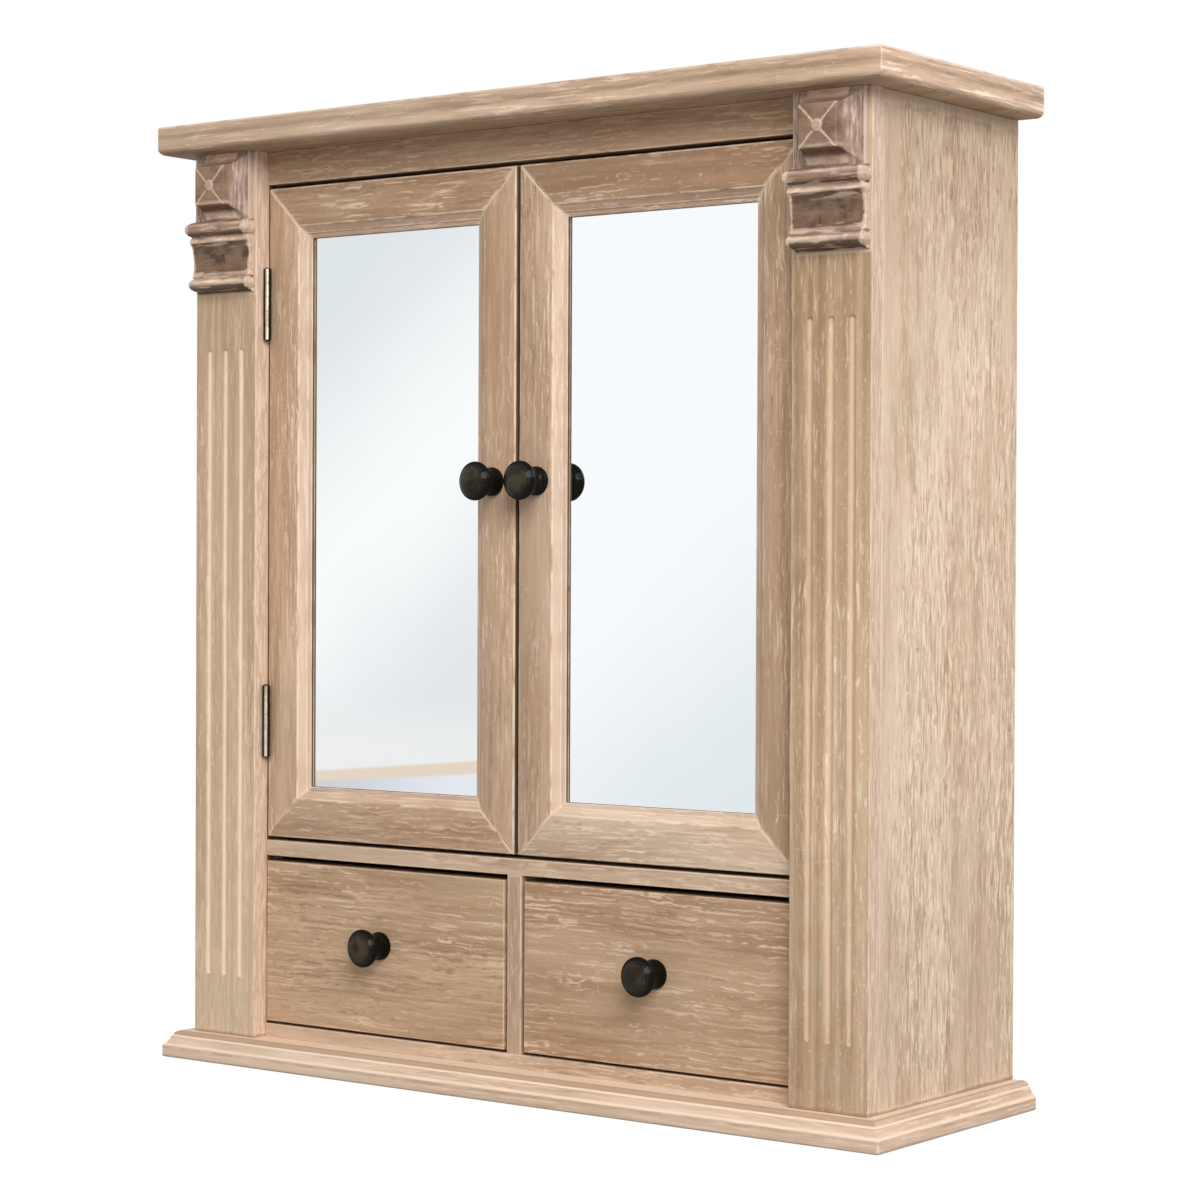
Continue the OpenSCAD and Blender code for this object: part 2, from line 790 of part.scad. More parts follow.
module hinge_door_leaves() {
    leaf_pair(door_leaf_x, 1, door_leaf_x + leaf_t, -1);
}

module hinge_pins() {
    color(bronze) for (side = [LEFT, RIGHT], z = hinge_zs)
        sided(side) translate([pin_x, pin_y, z]) {
            cylinder(h = hinge_h, r = pin_r, center = true);
            for (turn = [0, 180])
                rotate([turn, 0, 0]) translate([0, 0, hinge_h / 2])
                    cylinder(h = pin_head_h, r1 = pin_r + 0.7, r2 = pin_r);
        }
}

module frame_screws() {
    color(steel) {
        for (side = [LEFT, RIGHT])
            sided(side) leaf_screws(open_half - leaf_t, 1) small_screw();
        catch_screws();
    }
}

// Doors, as seen on the right-hand side

// Section of a door frame bar: [distance from the outer edge, depth below the face]
function bar_section() = let (m = moulding_w, d = moulding_drop)
    [[door_arris, 0], [border_w, 0], [border_w + 0.5, 0.3], [border_w + 0.8, 1.1],
     [border_w + m * 0.30, d * 0.42], [border_w + m * 0.52, d * 0.66],
     [border_w + m * 0.60, d * 0.68], [border_w + m * 0.64, d * 0.88],
     [bar_w - 0.7, d * 0.96], [bar_w, d + 0.3], [bar_w, glass_inset],
     [bar_w - rebate_w, glass_inset], [bar_w - rebate_w, frame_t],
     [0, frame_t], [0, door_arris]];

// A mitred bar of a door frame: it stands along Z with its outer edge at X = 0
module frame_bar(length) {
    half = length / 2;
    intersection() {
        linear_extrude(length + 2 * cut, center = true) polygon(bar_section());
        translate([0, frame_t + cut, 0]) rotate([90, 0, 0]) linear_extrude(frame_t + 2 * cut)
            polygon([[-cut, -half - cut], [-cut, half + cut], [bar_w + cut, half - bar_w - cut],
                     [bar_w + cut, -half + bar_w + cut]]);
    }
}

module door_outer_stile() {
    difference() {
        translate([door_out, face_y, door_mid_z]) mirror([1, 0, 0]) frame_bar(door_h);
        for (z = hinge_zs)
            block([door_leaf_x, face_y - cut, z - hinge_h / 2 - hole_play],
                  [door_out + cut, face_y + leaf_w + hole_play, z + hinge_h / 2 + hole_play]);
        leaf_screws(door_leaf_x + leaf_t, -1) small_screw_hole();
        mirror_points(hole_play);
    }
}

module door_inner_stile(side) {
    difference() {
        translate([door_in, face_y, door_mid_z]) frame_bar(door_h);
        at_door_knob(side) knob_bolt_hole(frame_t);
        mirror_points(hole_play);
    }
}

module door_top_rail() {
    difference() {
        translate([door_mid_x, face_y, door_z1]) rotate([0, 90, 0]) frame_bar(door_w);
        strike_screw(hole_play);
        mirror_points(hole_play);
    }
}

module door_bottom_rail() {
    difference() {
        translate([door_mid_x, face_y, door_z0]) rotate([0, -90, 0]) frame_bar(door_w);
        mirror_points(hole_play);
    }
}

// A sheet in the rebate of a door, at the given depth below the face
module door_sheet(depth, thickness) {
    edge = bar_w - rebate_w + mirror_play;
    block([door_in + edge, face_y + depth, door_z0 + edge],
          [door_out - edge, face_y + depth + thickness, door_z1 - edge]);
}

module mirror_glass() {
    door_sheet(glass_inset, glass_t);
}

module mirror_backing() {
    door_sheet(glass_inset + glass_t, backing_t);
}

// Flat points, driven into the rebate's wall, that hold the backing board
module mirror_points(play = 0) {
    y = face_y + glass_inset + glass_t + backing_t;
    wall = bar_w - rebate_w;
    half = point_w / 2 + play;
    for (z = [door_z0 + door_h * 0.22, door_mid_z, door_z1 - door_h * 0.22])
        for (x = [door_in + wall - point_bite, door_out - wall + point_bite - point_l])
            block([x - play, y, z - half], [x + point_l + play, y + point_t + play, z + half]);
    for (z = [door_z0 + wall - point_bite, door_z1 - wall + point_bite - point_l])
        block([door_mid_x - half, y, z - play], [door_mid_x + half, y + point_t + play, z + point_l + play]);
}

// Turns a profile of [radius, distance out] round an axis that points to the front
module turned(points) {
    rotate([90, 0, 0]) rotate_extrude() polygon(points);
}

// Section of a knob: a rounded foot, a neck and a mushroom head with a low dome
function knob_section() = let (
    rim = knob_out - knob_dome_h,
    flare = knob_foot_r - knob_neck_r,
    dome_half = knob_r - 0.7,
    dome_r = (dome_half * dome_half + knob_dome_h * knob_dome_h) / (2 * knob_dome_h),
    dome_a = asin(dome_half / dome_r))
    concat([[0, 0], [knob_foot_r, 0], [knob_foot_r, 1.4], [knob_foot_r - flare * 0.15, 2.7],
            [knob_foot_r - flare * 0.55, 4.2], [knob_foot_r - flare * 0.9, 5.8],
            [knob_neck_r, 7.4], [knob_neck_r, rim - 9.4], [knob_neck_r + 0.8, rim - 7],
            [knob_r * 0.79, rim - 5.2], [knob_r * 0.90, rim - 4], [knob_r * 0.985, rim - 2.8],
            [knob_r, rim - 1.7], [knob_r * 0.99, rim - 0.7]],
           [for (i = [0:8]) let (a = dome_a * (1 - i / 8))
               [dome_r * sin(a), rim + dome_r * (cos(a) - cos(dome_a))]]);

module knob_body() {
    difference() {
        turned(knob_section());
        knob_bolt_hole(0);
    }
}

// The bolt of a knob, through wood of the given thickness, with its head behind
module knob_bolt(thickness) {
    rotate([90, 0, 0]) {
        translate([0, 0, -thickness]) cylinder(h = thickness + bolt_grip, r = bolt_r);
        translate([0, 0, -thickness - bolt_head_h])
            cylinder(h = bolt_head_h, r1 = bolt_head_r - 0.6, r2 = bolt_head_r);
    }
}

// The hole for that bolt, from inside the knob to behind the wood
module knob_bolt_hole(thickness) {
    rotate([90, 0, 0]) translate([0, 0, -thickness - cut])
        cylinder(h = thickness + cut + bolt_grip + hole_play, r = bolt_r + hole_play);
}

module at_door_knob(side) {
    translate([knob_x(side), face_y, door_z0 + knob_z]) children();
}

module strike_screw(play = 0) {
    translate([strike_x, frame_back_y + strike_t, strike_z]) rotate([-90, 0, 0])
        wood_screw(small_screw_l, small_screw_r, small_head_r, play);
}

module strike_plate() {
    difference() {
        block([strike_x - strike_w / 2, frame_back_y, strike_z - catch_reach / 2 + 1],
              [strike_x + strike_w / 2, frame_back_y + strike_t, strike_z + catch_reach / 2 - 2]);
        strike_screw(hole_play);
    }
}

module door_screws(side) {
    leaf_screws(door_leaf_x + leaf_t, -1) small_screw();
    strike_screw();
    at_door_knob(side) knob_bolt(frame_t);
}

module door_knob(side) {
    at_door_knob(side) knob_body();
}

module left_door_outer_stile() {
    color(limed) sided(LEFT) door_outer_stile();
}

module left_door_inner_stile() {
    color(limed) sided(LEFT) door_inner_stile(LEFT);
}

module left_door_top_rail() {
    color(limed) sided(LEFT) door_top_rail();
}

module left_door_bottom_rail() {
    color(limed) sided(LEFT) door_bottom_rail();
}

module left_mirror() {
    color(silver) sided(LEFT) mirror_glass();
}

module left_mirror_backing() {
    color(board) sided(LEFT) mirror_backing();
}

module left_mirror_points() {
    color(steel) sided(LEFT) mirror_points();
}

module left_hinge_door_leaves() {
    color(bronze) sided(LEFT) hinge_door_leaves();
}

module left_door_screws() {
    color(steel) sided(LEFT) door_screws(LEFT);
}

module left_strike_plate() {
    color(steel) sided(LEFT) strike_plate();
}

module left_door_knob() {
    color(bronze) sided(LEFT) door_knob(LEFT);
}

module right_door_outer_stile() {
    color(limed) door_outer_stile();
}

module right_door_inner_stile() {
    color(limed) door_inner_stile(RIGHT);
}

module right_door_top_rail() {
    color(limed) door_top_rail();
}

module right_door_bottom_rail() {
    color(limed) door_bottom_rail();
}

module right_mirror() {
    color(silver) mirror_glass();
}

module right_mirror_backing() {
    color(board) mirror_backing();
}

module right_mirror_points() {
    color(steel) mirror_points();
}

module right_hinge_door_leaves() {
    color(bronze) hinge_door_leaves();
}

module right_door_screws() {
    color(steel) door_screws(RIGHT);
}

module right_strike_plate() {
    color(steel) strike_plate();
}

module right_door_knob() {
    color(bronze) door_knob(RIGHT);
}

// Drawers, as seen on the right-hand side

// The drawer bottom, or the groove for it if play is given
module bottom_sheet(side, play = 0) {
    inner = drawer_in(side) + box_inset + drawer_wall_t - groove_depth;
    outer = drawer_out - box_inset - drawer_wall_t + groove_depth;
    low = box_z0 + groove_z;
    block([inner - play, box_y0 - groove_depth - play, low],
          [outer + play, box_y1 + (play > 0 ? cut : 0), low + drawer_bottom_t]);
}

module drawer_front(side) {
    difference() {
        block([drawer_in(side), face_y, drawer_z0],
              [drawer_out, box_y0, drawer_z0 + drawer_front_h]);
        bottom_sheet(side, hole_play);
        translate([drawer_knob_x(side), face_y, drawer_knob_z]) knob_bolt_hole(drawer_front_t);
    }
}

module drawer_wall(side, low_x) {
    difference() {
        block([low_x, box_y0, box_z0], [low_x + drawer_wall_t, box_y1, box_z0 + drawer_wall_h]);
        bottom_sheet(side, hole_play);
    }
}

module drawer_outer_side(side) {
    drawer_wall(side, drawer_out - box_inset - drawer_wall_t);
}

module drawer_inner_side(side) {
    drawer_wall(side, drawer_in(side) + box_inset);
}

module drawer_back(side) {
    block([drawer_in(side) + box_inset + drawer_wall_t, box_y1 - drawer_wall_t,
           box_z0 + groove_z + drawer_bottom_t],
          [drawer_out - box_inset - drawer_wall_t, box_y1, box_z0 + drawer_wall_h]);
}

module drawer_knob(side) {
    translate([drawer_knob_x(side), face_y, drawer_knob_z]) {
        knob_body();
        knob_bolt(drawer_front_t);
    }
}

module left_drawer_front() {
    color(limed) sided(LEFT) drawer_front(LEFT);
}

module left_drawer_outer_side() {
    color(plain_wood) sided(LEFT) drawer_outer_side(LEFT);
}

module left_drawer_inner_side() {
    color(plain_wood) sided(LEFT) drawer_inner_side(LEFT);
}

module left_drawer_back() {
    color(plain_wood) sided(LEFT) drawer_back(LEFT);
}

module left_drawer_bottom() {
    color(board) sided(LEFT) bottom_sheet(LEFT);
}

module left_drawer_knob() {
    color(bronze) sided(LEFT) drawer_knob(LEFT);
}

module right_drawer_front() {
    color(limed) drawer_front(RIGHT);
}

module right_drawer_outer_side() {
    color(plain_wood) drawer_outer_side(RIGHT);
}

module right_drawer_inner_side() {
    color(plain_wood) drawer_inner_side(RIGHT);
}

module right_drawer_back() {
    color(plain_wood) drawer_back(RIGHT);
}

module right_drawer_bottom() {
    color(board) bottom_sheet(RIGHT);
}

module right_drawer_knob() {
    color(bronze) drawer_knob(RIGHT);
}

crown_board();
base_board();
left_side_panel();
right_side_panel();
back_panel();
hanging_rail();
deck_board();
frieze_rail();
bottom_rail();
left_frame_stile();
right_frame_stile();
left_pilaster();
right_pilaster();
left_capital();
right_capital();
drawer_partition();
drawer_runners();
shelf();
shelf_pins();
magnetic_catch();
base_screws();
crown_dowels();
back_nails();
hinge_frame_leaves();
hinge_pins();
frame_screws();
left_door_outer_stile();
left_door_inner_stile();
left_door_top_rail();
left_door_bottom_rail();
left_mirror();
left_mirror_backing();
left_mirror_points();
left_hinge_door_leaves();
left_door_screws();
left_strike_plate();
left_door_knob();
right_door_outer_stile();
right_door_inner_stile();
right_door_top_rail();
right_door_bottom_rail();
right_mirror();
right_mirror_backing();
right_mirror_points();
right_hinge_door_leaves();
right_door_screws();
right_strike_plate();
right_door_knob();
left_drawer_front();
left_drawer_outer_side();
left_drawer_inner_side();
left_drawer_back();
left_drawer_bottom();
left_drawer_knob();
right_drawer_front();
right_drawer_outer_side();
right_drawer_inner_side();
right_drawer_back();
right_drawer_bottom();
right_drawer_knob();
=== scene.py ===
# %% [markdown]
# # A mirror cabinet in limed wood
#
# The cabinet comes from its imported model: sixty named pieces in metres, with X to the
# right, Y into the wall and Z up. This lesson dresses them. Boards get eased edges and a
# limed finish, the capitals get carved and worn, the knobs and mirrors get fuller shapes,
# and each material is a recipe of its own.

# %% Load the cabinet
import json
import math

import bmesh
import bpy
from mathutils import Matrix, Vector

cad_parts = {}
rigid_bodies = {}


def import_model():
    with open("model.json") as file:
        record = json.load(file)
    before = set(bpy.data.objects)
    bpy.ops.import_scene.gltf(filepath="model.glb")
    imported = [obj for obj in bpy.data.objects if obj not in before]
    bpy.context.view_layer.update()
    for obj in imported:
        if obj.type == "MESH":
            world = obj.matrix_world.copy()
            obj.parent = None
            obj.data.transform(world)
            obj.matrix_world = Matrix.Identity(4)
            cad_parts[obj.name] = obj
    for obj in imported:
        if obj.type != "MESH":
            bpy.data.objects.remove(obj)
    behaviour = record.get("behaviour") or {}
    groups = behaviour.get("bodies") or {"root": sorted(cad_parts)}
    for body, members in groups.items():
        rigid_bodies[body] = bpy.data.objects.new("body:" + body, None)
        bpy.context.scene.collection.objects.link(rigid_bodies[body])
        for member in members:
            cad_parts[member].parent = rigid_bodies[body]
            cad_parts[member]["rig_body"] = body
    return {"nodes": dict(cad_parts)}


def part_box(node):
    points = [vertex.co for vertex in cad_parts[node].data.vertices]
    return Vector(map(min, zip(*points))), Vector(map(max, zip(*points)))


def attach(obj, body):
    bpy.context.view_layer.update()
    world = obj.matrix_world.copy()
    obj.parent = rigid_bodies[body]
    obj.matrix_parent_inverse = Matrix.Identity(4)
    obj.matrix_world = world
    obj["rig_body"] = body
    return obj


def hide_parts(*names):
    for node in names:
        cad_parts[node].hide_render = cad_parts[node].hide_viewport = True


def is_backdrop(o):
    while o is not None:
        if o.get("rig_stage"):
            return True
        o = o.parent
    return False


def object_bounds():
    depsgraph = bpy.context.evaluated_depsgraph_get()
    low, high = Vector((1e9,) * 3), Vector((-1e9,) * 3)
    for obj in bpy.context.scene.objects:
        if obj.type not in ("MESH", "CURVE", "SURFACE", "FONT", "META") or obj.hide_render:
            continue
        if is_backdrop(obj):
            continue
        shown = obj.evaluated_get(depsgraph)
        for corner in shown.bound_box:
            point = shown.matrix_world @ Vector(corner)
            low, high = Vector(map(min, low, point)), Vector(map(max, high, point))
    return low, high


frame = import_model()
cad = frame["nodes"]
cad_low, cad_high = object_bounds()
print(len(cad), "pieces,", [round(side, 4) for side in cad_high - cad_low], "m")

# %% [markdown]
# ## Camera
#
# The photograph was taken from the right, a little above the middle of the cabinet, with a
# long lens. The place and the three turns were worked out from the cabinet's own corners,
# so that the render can be laid over the photograph.

# %% Camera
FOCAL_LENGTH, SENSOR_WIDTH = 91.234, 36  # millimetres
CAMERA_PLACE = (1.2054, -1.6845, 0.3374)
CAMERA_TURN, CAMERA_TILT, CAMERA_ROLL = 36.78, -0.591, 0.248  # degrees
CABINET_MIDDLE = Vector((0, 0, 0.32))

lens = bpy.data.cameras.new("camera")
lens.lens = FOCAL_LENGTH
lens.sensor_width = SENSOR_WIDTH
lens.sensor_fit = "HORIZONTAL"
camera = bpy.data.objects.new("camera", lens)
camera.matrix_world = (
    Matrix.Translation(CAMERA_PLACE)
    @ Matrix.Rotation(math.radians(CAMERA_TURN), 4, "Z")
    @ Matrix.Rotation(math.radians(90 + CAMERA_TILT), 4, "X")
    @ Matrix.Rotation(math.radians(CAMERA_ROLL), 4, "Z")
)
scene = bpy.context.scene
scene.collection.objects.link(camera)
scene.camera = camera
scene.view_settings.view_transform = "Standard"
print("camera", round((camera.location - CABINET_MIDDLE).length, 3), "m from the middle")

# %% [markdown]
# ## Shader arithmetic
#
# A finish is a small sum of patterns: so much dark pore, so much lime, so much wear. Adding
# each Math node by hand hides the sum, so one class wraps a socket and lets Python's
# operators add the nodes. Another holds the node tree, and its `add` makes any other node.

# %% Sockets that can be added and multiplied
class Socket:
    """An output of a shader node. A sum with it adds Math nodes."""

    def __init__(self, recipe, socket):
        self.recipe = recipe
        self.socket = socket

    def maths(self, operation, first, second):
        return self.recipe.add("Math", {"operation": operation}, {0: first, 1: second})

    def __add__(self, other):
        return self.maths("ADD", self, other)

    def __radd__(self, other):
        return self.maths("ADD", other, self)

    def __sub__(self, other):
        return self.maths("SUBTRACT", self, other)

    def __rsub__(self, other):
        return self.maths("SUBTRACT", other, self)

    def __mul__(self, other):
        return self.maths("MULTIPLY", self, other)

    def __pow__(self, other):
        return self.maths("POWER", self, other)

    def __abs__(self):
        return self.recipe.add("Math", {"operation": "ABSOLUTE"}, {0: self})

    def least(self, other):
        return self.maths("MINIMUM", self, other)

    def most(self, other):
        return self.maths("MAXIMUM", self, other)

    def fade(self, start, end):
        """Rises softly from 0 at start to 1 at end, or falls where end is the lower."""
        limits = {"From Min": min(start, end), "From Max": max(start, end)}
        if start > end:
            limits.update({"To Min": 1.0, "To Max": 0.0})
        return self.recipe.add(
            "MapRange", {"interpolation_type": "SMOOTHSTEP"}, {"Value": self, **limits}
        )

    def band(self, start, full, fading, end):
        """Rises to 1 between start and full, and falls to 0 between fading and end."""
        return self.fade(start, full) * self.fade(end, fading)


# %% Colours
def seen(red, green, blue):
    """The shader colour of a colour that is seen as 0 to 255."""
    shares = [value / 255 for value in (red, green, blue)]
    curve = [v / 12.92 if v <= 0.04045 else ((v + 0.055) / 1.055) ** 2.4 for v in shares]
    return (*curve, 1.0)


def scaled(tone, *factors):
    """A tone made darker, redder or paler, as a shader colour."""
    return seen(*[min(250, value * factor) for value, factor in zip(tone, factors)])


def tint(*ratios):
    """What a colour is multiplied by to be seen this much lighter or darker."""
    return (*[ratio ** 2.2 for ratio in ratios], 1.0)


# %% A recipe of shader nodes
class Recipe:
    """A node tree that is filled with nodes one call at a time."""

    def __init__(self, tree):
        self.tree = tree
        tree.nodes.clear()

    def add(self, kind, settings=None, inputs=None, out=0):
        """Adds any shader node and gives back one of its outputs."""
        node = self.tree.nodes.new("ShaderNode" + kind)
        for name, value in (settings or {}).items():
            if name == "stops":
                self.set_stops(node.color_ramp.elements, value)
            else:
                setattr(node, name, value)
        for name, value in (inputs or {}).items():
            if isinstance(value, Socket):
                self.tree.links.new(value.socket, node.inputs[name])
            else:
                node.inputs[name].default_value = value
        return Socket(self, node.outputs[out])

    def set_stops(self, elements, stops):
        """Gives a colour ramp its (position, colour) stops, of which it has two already."""
        for position, _ in stops[2:]:
            elements.new(position)
        for element, (position, colour) in zip(elements, stops):
            element.position = position
            element.color = colour

    def mix(self, share, first, second, blend="MIX"):
        """Mixes two colours: share 0 gives the first and 1 the second."""
        settings = {"data_type": "RGBA", "blend_type": blend}
        return self.add("Mix", settings, {0: share, 6: first, 7: second}, out=2)

    def paint(self, share, colour, tone):
        """Covers the colour with a tone that is seen as 0 to 255."""
        return self.mix(share, colour, seen(*tone))

    def glaze(self, share, colour, *ratios):
        """Makes the colour lighter or darker by ratios of red, green and blue."""
        return self.mix(share, colour, tint(*ratios), "MULTIPLY")

    def noise(self, place, along, across, detail=2.0, roughness=0.5, deep=None):
        """Noise with this many grains to the metre along X, across it and in depth."""
        scale = (along, across, across if deep is None else deep)
        place = self.add("VectorMath", {"operation": "MULTIPLY"}, {0: place, 1: scale})
        inputs = {"Vector": place, "Scale": 1.0, "Detail": detail, "Roughness": roughness}
        return self.add("TexNoise", None, inputs)

    def mark(self, name):
        """The value of a mark that a mesh carries on its faces."""
        return self.add("Attribute", {"attribute_name": name}, None, out="Fac")

    def ask(self, kind, out):
        """What a node without inputs knows of the point, such as its normal."""
        return self.add(kind, None, None, out)

    def split(self, place):
        """The three parts of a place or of a direction."""
        return [self.add("SeparateXYZ", None, {0: place}, out=i) for i in range(3)]

    def join(self, *parts):
        return self.add("CombineXYZ", None, dict(enumerate(parts)))

    def shift(self, place, offset):
        return self.add("VectorMath", {"operation": "ADD"}, {0: place, 1: offset})

    def emit(self, colour, strength=1.0, kind="Emission"):
        return self.add(kind, None, {"Color": colour, "Strength": strength})

    def by_ray(self, lit, shown, reflected):
        """Shows the camera and reflections surfaces of their own; light meets the first."""
        to_camera, to_gloss, through = [
            self.ask("LightPath", f"Is {kind} Ray")
            for kind in ("Camera", "Glossy", "Transmission")
        ]
        ground = self.add("MixShader", None, {0: to_camera, 1: lit, 2: shown})
        return self.add("MixShader", None, {0: to_gloss.most(through), 1: ground, 2: reflected})

    def bump(self, height, strength, distance):
        inputs = {"Height": height, "Strength": strength, "Distance": distance}
        return self.add("Bump", None, inputs)

    def close(self, shader, kind="Material"):
        output = self.tree.nodes.new("ShaderNodeOutput" + kind)
        self.tree.links.new(shader.socket, output.inputs["Surface"])

    def finish(self, inputs):
        """Closes the recipe with the shader that takes a colour, a roughness and more."""
        self.close(self.add("BsdfPrincipled", None, inputs))


def new_finish(name):
    material = bpy.data.materials.new(name)
    material.use_nodes = True
    return material, Recipe(material.node_tree)


print("a mid wood tone is", [round(v, 3) for v in seen(200, 170, 143)[:3]])

# %% [markdown]
# ## Stage and light
#
# The photograph has a pure white ground. A floor lit hard enough to clip would also wash
# out the wood, so the floor and the world are simply white to the camera and to
# reflections, while the light that they give the cabinet is plain and soft. The floor
# keeps part of its lit colour, so that the cabinet's shadow stays on it.

# %% Floor
WHITE = (1, 1, 1, 1)
WHITE_ROOM = (0.955, 0.975, 0.985, 1.0)
FLOOR_GREY = (0.42, 0.42, 0.42, 1.0)
FLOOR_GLOW = 0.8
FLOOR_REACH = 7
FLOOR_GAP = 0.0003


def new_object(shape, name, finish):
    """Turns a shape into an object of the scene, with one finish all over."""
    mesh = bpy.data.meshes.new(name)
    shape.to_mesh(mesh)
    shape.free()
    mesh.materials.append(finish)
    thing = bpy.data.objects.new(name, mesh)
    scene.collection.objects.link(thing)
    return thing


floor_finish, recipe = new_finish("pale_floor")
lit = recipe.add("BsdfDiffuse", None, {"Color": FLOOR_GREY})
bright = recipe.add("AddShader", None, {0: lit, 1: recipe.emit(WHITE, FLOOR_GLOW)})
recipe.close(recipe.by_ray(lit, bright, recipe.emit(WHITE_ROOM)))
shape = bmesh.new()
bmesh.ops.create_grid(shape, x_segments=1, y_segments=1, size=FLOOR_REACH)
bmesh.ops.translate(shape, verts=shape.verts, vec=(0, 0, cad_low.z - FLOOR_GAP))
floor = new_object(shape, "floor", floor_finish)
floor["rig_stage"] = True
print("the floor is", round(floor.dimensions.x), "m wide")

# %% World
AMBIENT_COLOUR = (1.0, 0.99, 0.98, 1.0)
AMBIENT = 0.52

world = bpy.data.worlds.new("studio")
world.use_nodes = True
scene.world = world
recipe = Recipe(world.node_tree)
soft = recipe.emit(AMBIENT_COLOUR, AMBIENT, "Background")
white = recipe.emit(WHITE, 1.0, "Background")
room = recipe.emit(WHITE_ROOM, 1.0, "Background")
recipe.close(recipe.by_ray(soft, white, room), "World")
print("the world is a recipe of", len(world.node_tree.nodes), "nodes")

# %% Lamp
LAMP_PLACE, LAMP_TARGET = Vector((2.1, -2.1, 2.0)), Vector((0, 0, 0.3))
LAMP_SIZE, LAMP_POWER = 1.8, 90

lamp = bpy.data.lights.new("key_lamp", "AREA")
lamp.size = LAMP_SIZE
lamp.energy = LAMP_POWER
holder = bpy.data.objects.new("key_lamp", lamp)
towards = LAMP_TARGET - LAMP_PLACE
holder.matrix_world = (
    Matrix.Translation(LAMP_PLACE) @ towards.to_track_quat("-Z", "Y").to_matrix().to_4x4()
)
scene.collection.objects.link(holder)
print("the lamp stands", round(towards.length, 2), "m away")

# %% [markdown]
# ## What the mirrors show
#
# A mirror looks only as good as what it reflects. In the photograph the two mirrors show
# the far side of the studio: pale paper with soft shading, and the edge of a wooden ledge
# low in the left one. Two upright cards stand there. Only reflections see them, so they
# light nothing. Their shading is laid out by where the mirrored lines of sight meet them.
# The cards glow, and the band of light and the shade on them are painted.

# %% Paper cards
CARD_AHEAD, CARD_HEIGHT, CARD_MIDDLE = 1.8, 1.1, 0.56
LEDGE_START = -1.6674
SLANT_X, SLANT_Z = 0.6016, 0.799


def paper_card(name, left, right, shading):
    """An upright card in front of the cabinet that only reflections see."""
    shape = bmesh.new()
    bmesh.ops.create_grid(shape, x_segments=1, y_segments=1, size=0.5)
    bmesh.ops.rotate(shape, verts=shape.verts, matrix=Matrix.Rotation(math.pi / 2, 3, "X"))
    bmesh.ops.scale(shape, verts=shape.verts, vec=(right - left, 1, CARD_HEIGHT))
    centre = ((left + right) / 2, -CARD_AHEAD, CARD_MIDDLE)
    bmesh.ops.translate(shape, verts=shape.verts, vec=centre)
    finish, recipe = new_finish(name)
    place = recipe.ask("TexCoord", "Object")
    x, _, z = recipe.split(place)
    soft = recipe.noise(place, 6, 6) * 0.06
    aslant = z * SLANT_Z - x * SLANT_X + soft - 0.03
    recipe.close(recipe.emit(shading(recipe, x, z, aslant)))
    card = new_object(shape, name, finish)
    card.visible_camera = False
    card.visible_diffuse = False
    card.visible_shadow = False
    card.visible_transmission = False
    card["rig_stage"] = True
    print(name, "hangs", CARD_AHEAD, "m in front of the wall")


def left_shading(recipe, x, z, aslant):
    """A painted bright band of light across the card, a beige ledge near its foot and blue paper
    below.
    """
    colour = recipe.mix(aslant.fade(1.26, 1.56), seen(252, 254, 254), seen(226, 232, 235))
    colour = recipe.paint(aslant.fade(1.26, 0.99), colour, (229, 234, 237))
    colour = recipe.paint(z.fade(0.17, 0.09), colour, (239, 241, 240))
    ledge_top = (x - LEDGE_START) * 0.0895 + 0.0514
    ledge_foot = (x - LEDGE_START) * 0.080 + 0.0366
    colour = recipe.paint((z - ledge_top).fade(0.003, -0.002), colour, (232, 215, 197))
    blue = recipe.mix(x.fade(-1.66, -1.38), seen(208, 212, 218), seen(231, 236, 241))
    return recipe.mix((z - ledge_foot).fade(0.003, -0.002), colour, blue)


def right_shading(recipe, x, z, aslant):
    """Bright paper with painted shade towards the lower right."""
    return recipe.mix(aslant.fade(0.97, 0.60), seen(250, 253, 255), seen(229, 236, 240))


paper_card("left_paper", -1.80, -1.30, left_shading)
paper_card("right_paper", -1.30, -0.80, right_shading)

# %% [markdown]
# ## Limed wood
#
# Liming rubs a white paste into the open pores of brushed wood and wipes it off, so the
# board stays sandy brown while flecks, arrises and hollows keep the white. The recipe
# follows that order: board colour with slow patches, growth lines, dark pores, then lime in
# clusters, then wear along the arrises. Grain is noise that is stretched along the board,
# and its place is bent first, so that no line is straight.

# %% Where the grain runs
AXIS_ORDERS = {"x": (0, 1, 2), "y": (1, 0, 2), "z": (2, 0, 1)}
SEED_STEP = (1.37, 0.73, 2.11)


def grain_place(recipe, along, seed, turned=None):
    """The surface's place with X along the grain, moved to its own part of the noise.

    Where `turned` names a second axis, the grain follows that one on the board's two ends.
    """
    split = recipe.split(recipe.ask("TexCoord", "Object"))
    place = recipe.join(*[split[axis] for axis in AXIS_ORDERS[along]])
    if turned:
        sideways = recipe.split(recipe.ask("NewGeometry", "True Normal"))[0]
        other = recipe.join(*[split[axis] for axis in AXIS_ORDERS[turned]])
        inputs = {0: abs(sideways).fade(0.55, 0.6), 4: place, 5: other}
        place = recipe.add("Mix", {"data_type": "VECTOR"}, inputs, out=1)
    return recipe.shift(place, [seed * step for step in SEED_STEP]), split


def bend_grain(recipe, place, sway, ripple):
    """Moves the place across the grain by slow and by quick waves, given in metres."""
    slow = recipe.noise(place, 4, 9) - 0.5
    quick = recipe.noise(place, 85, 150, detail=1.5) - 0.5
    aside = slow * (2 * sway) + quick * (2 * ripple)
    return recipe.shift(place, recipe.join(0, aside, aside))


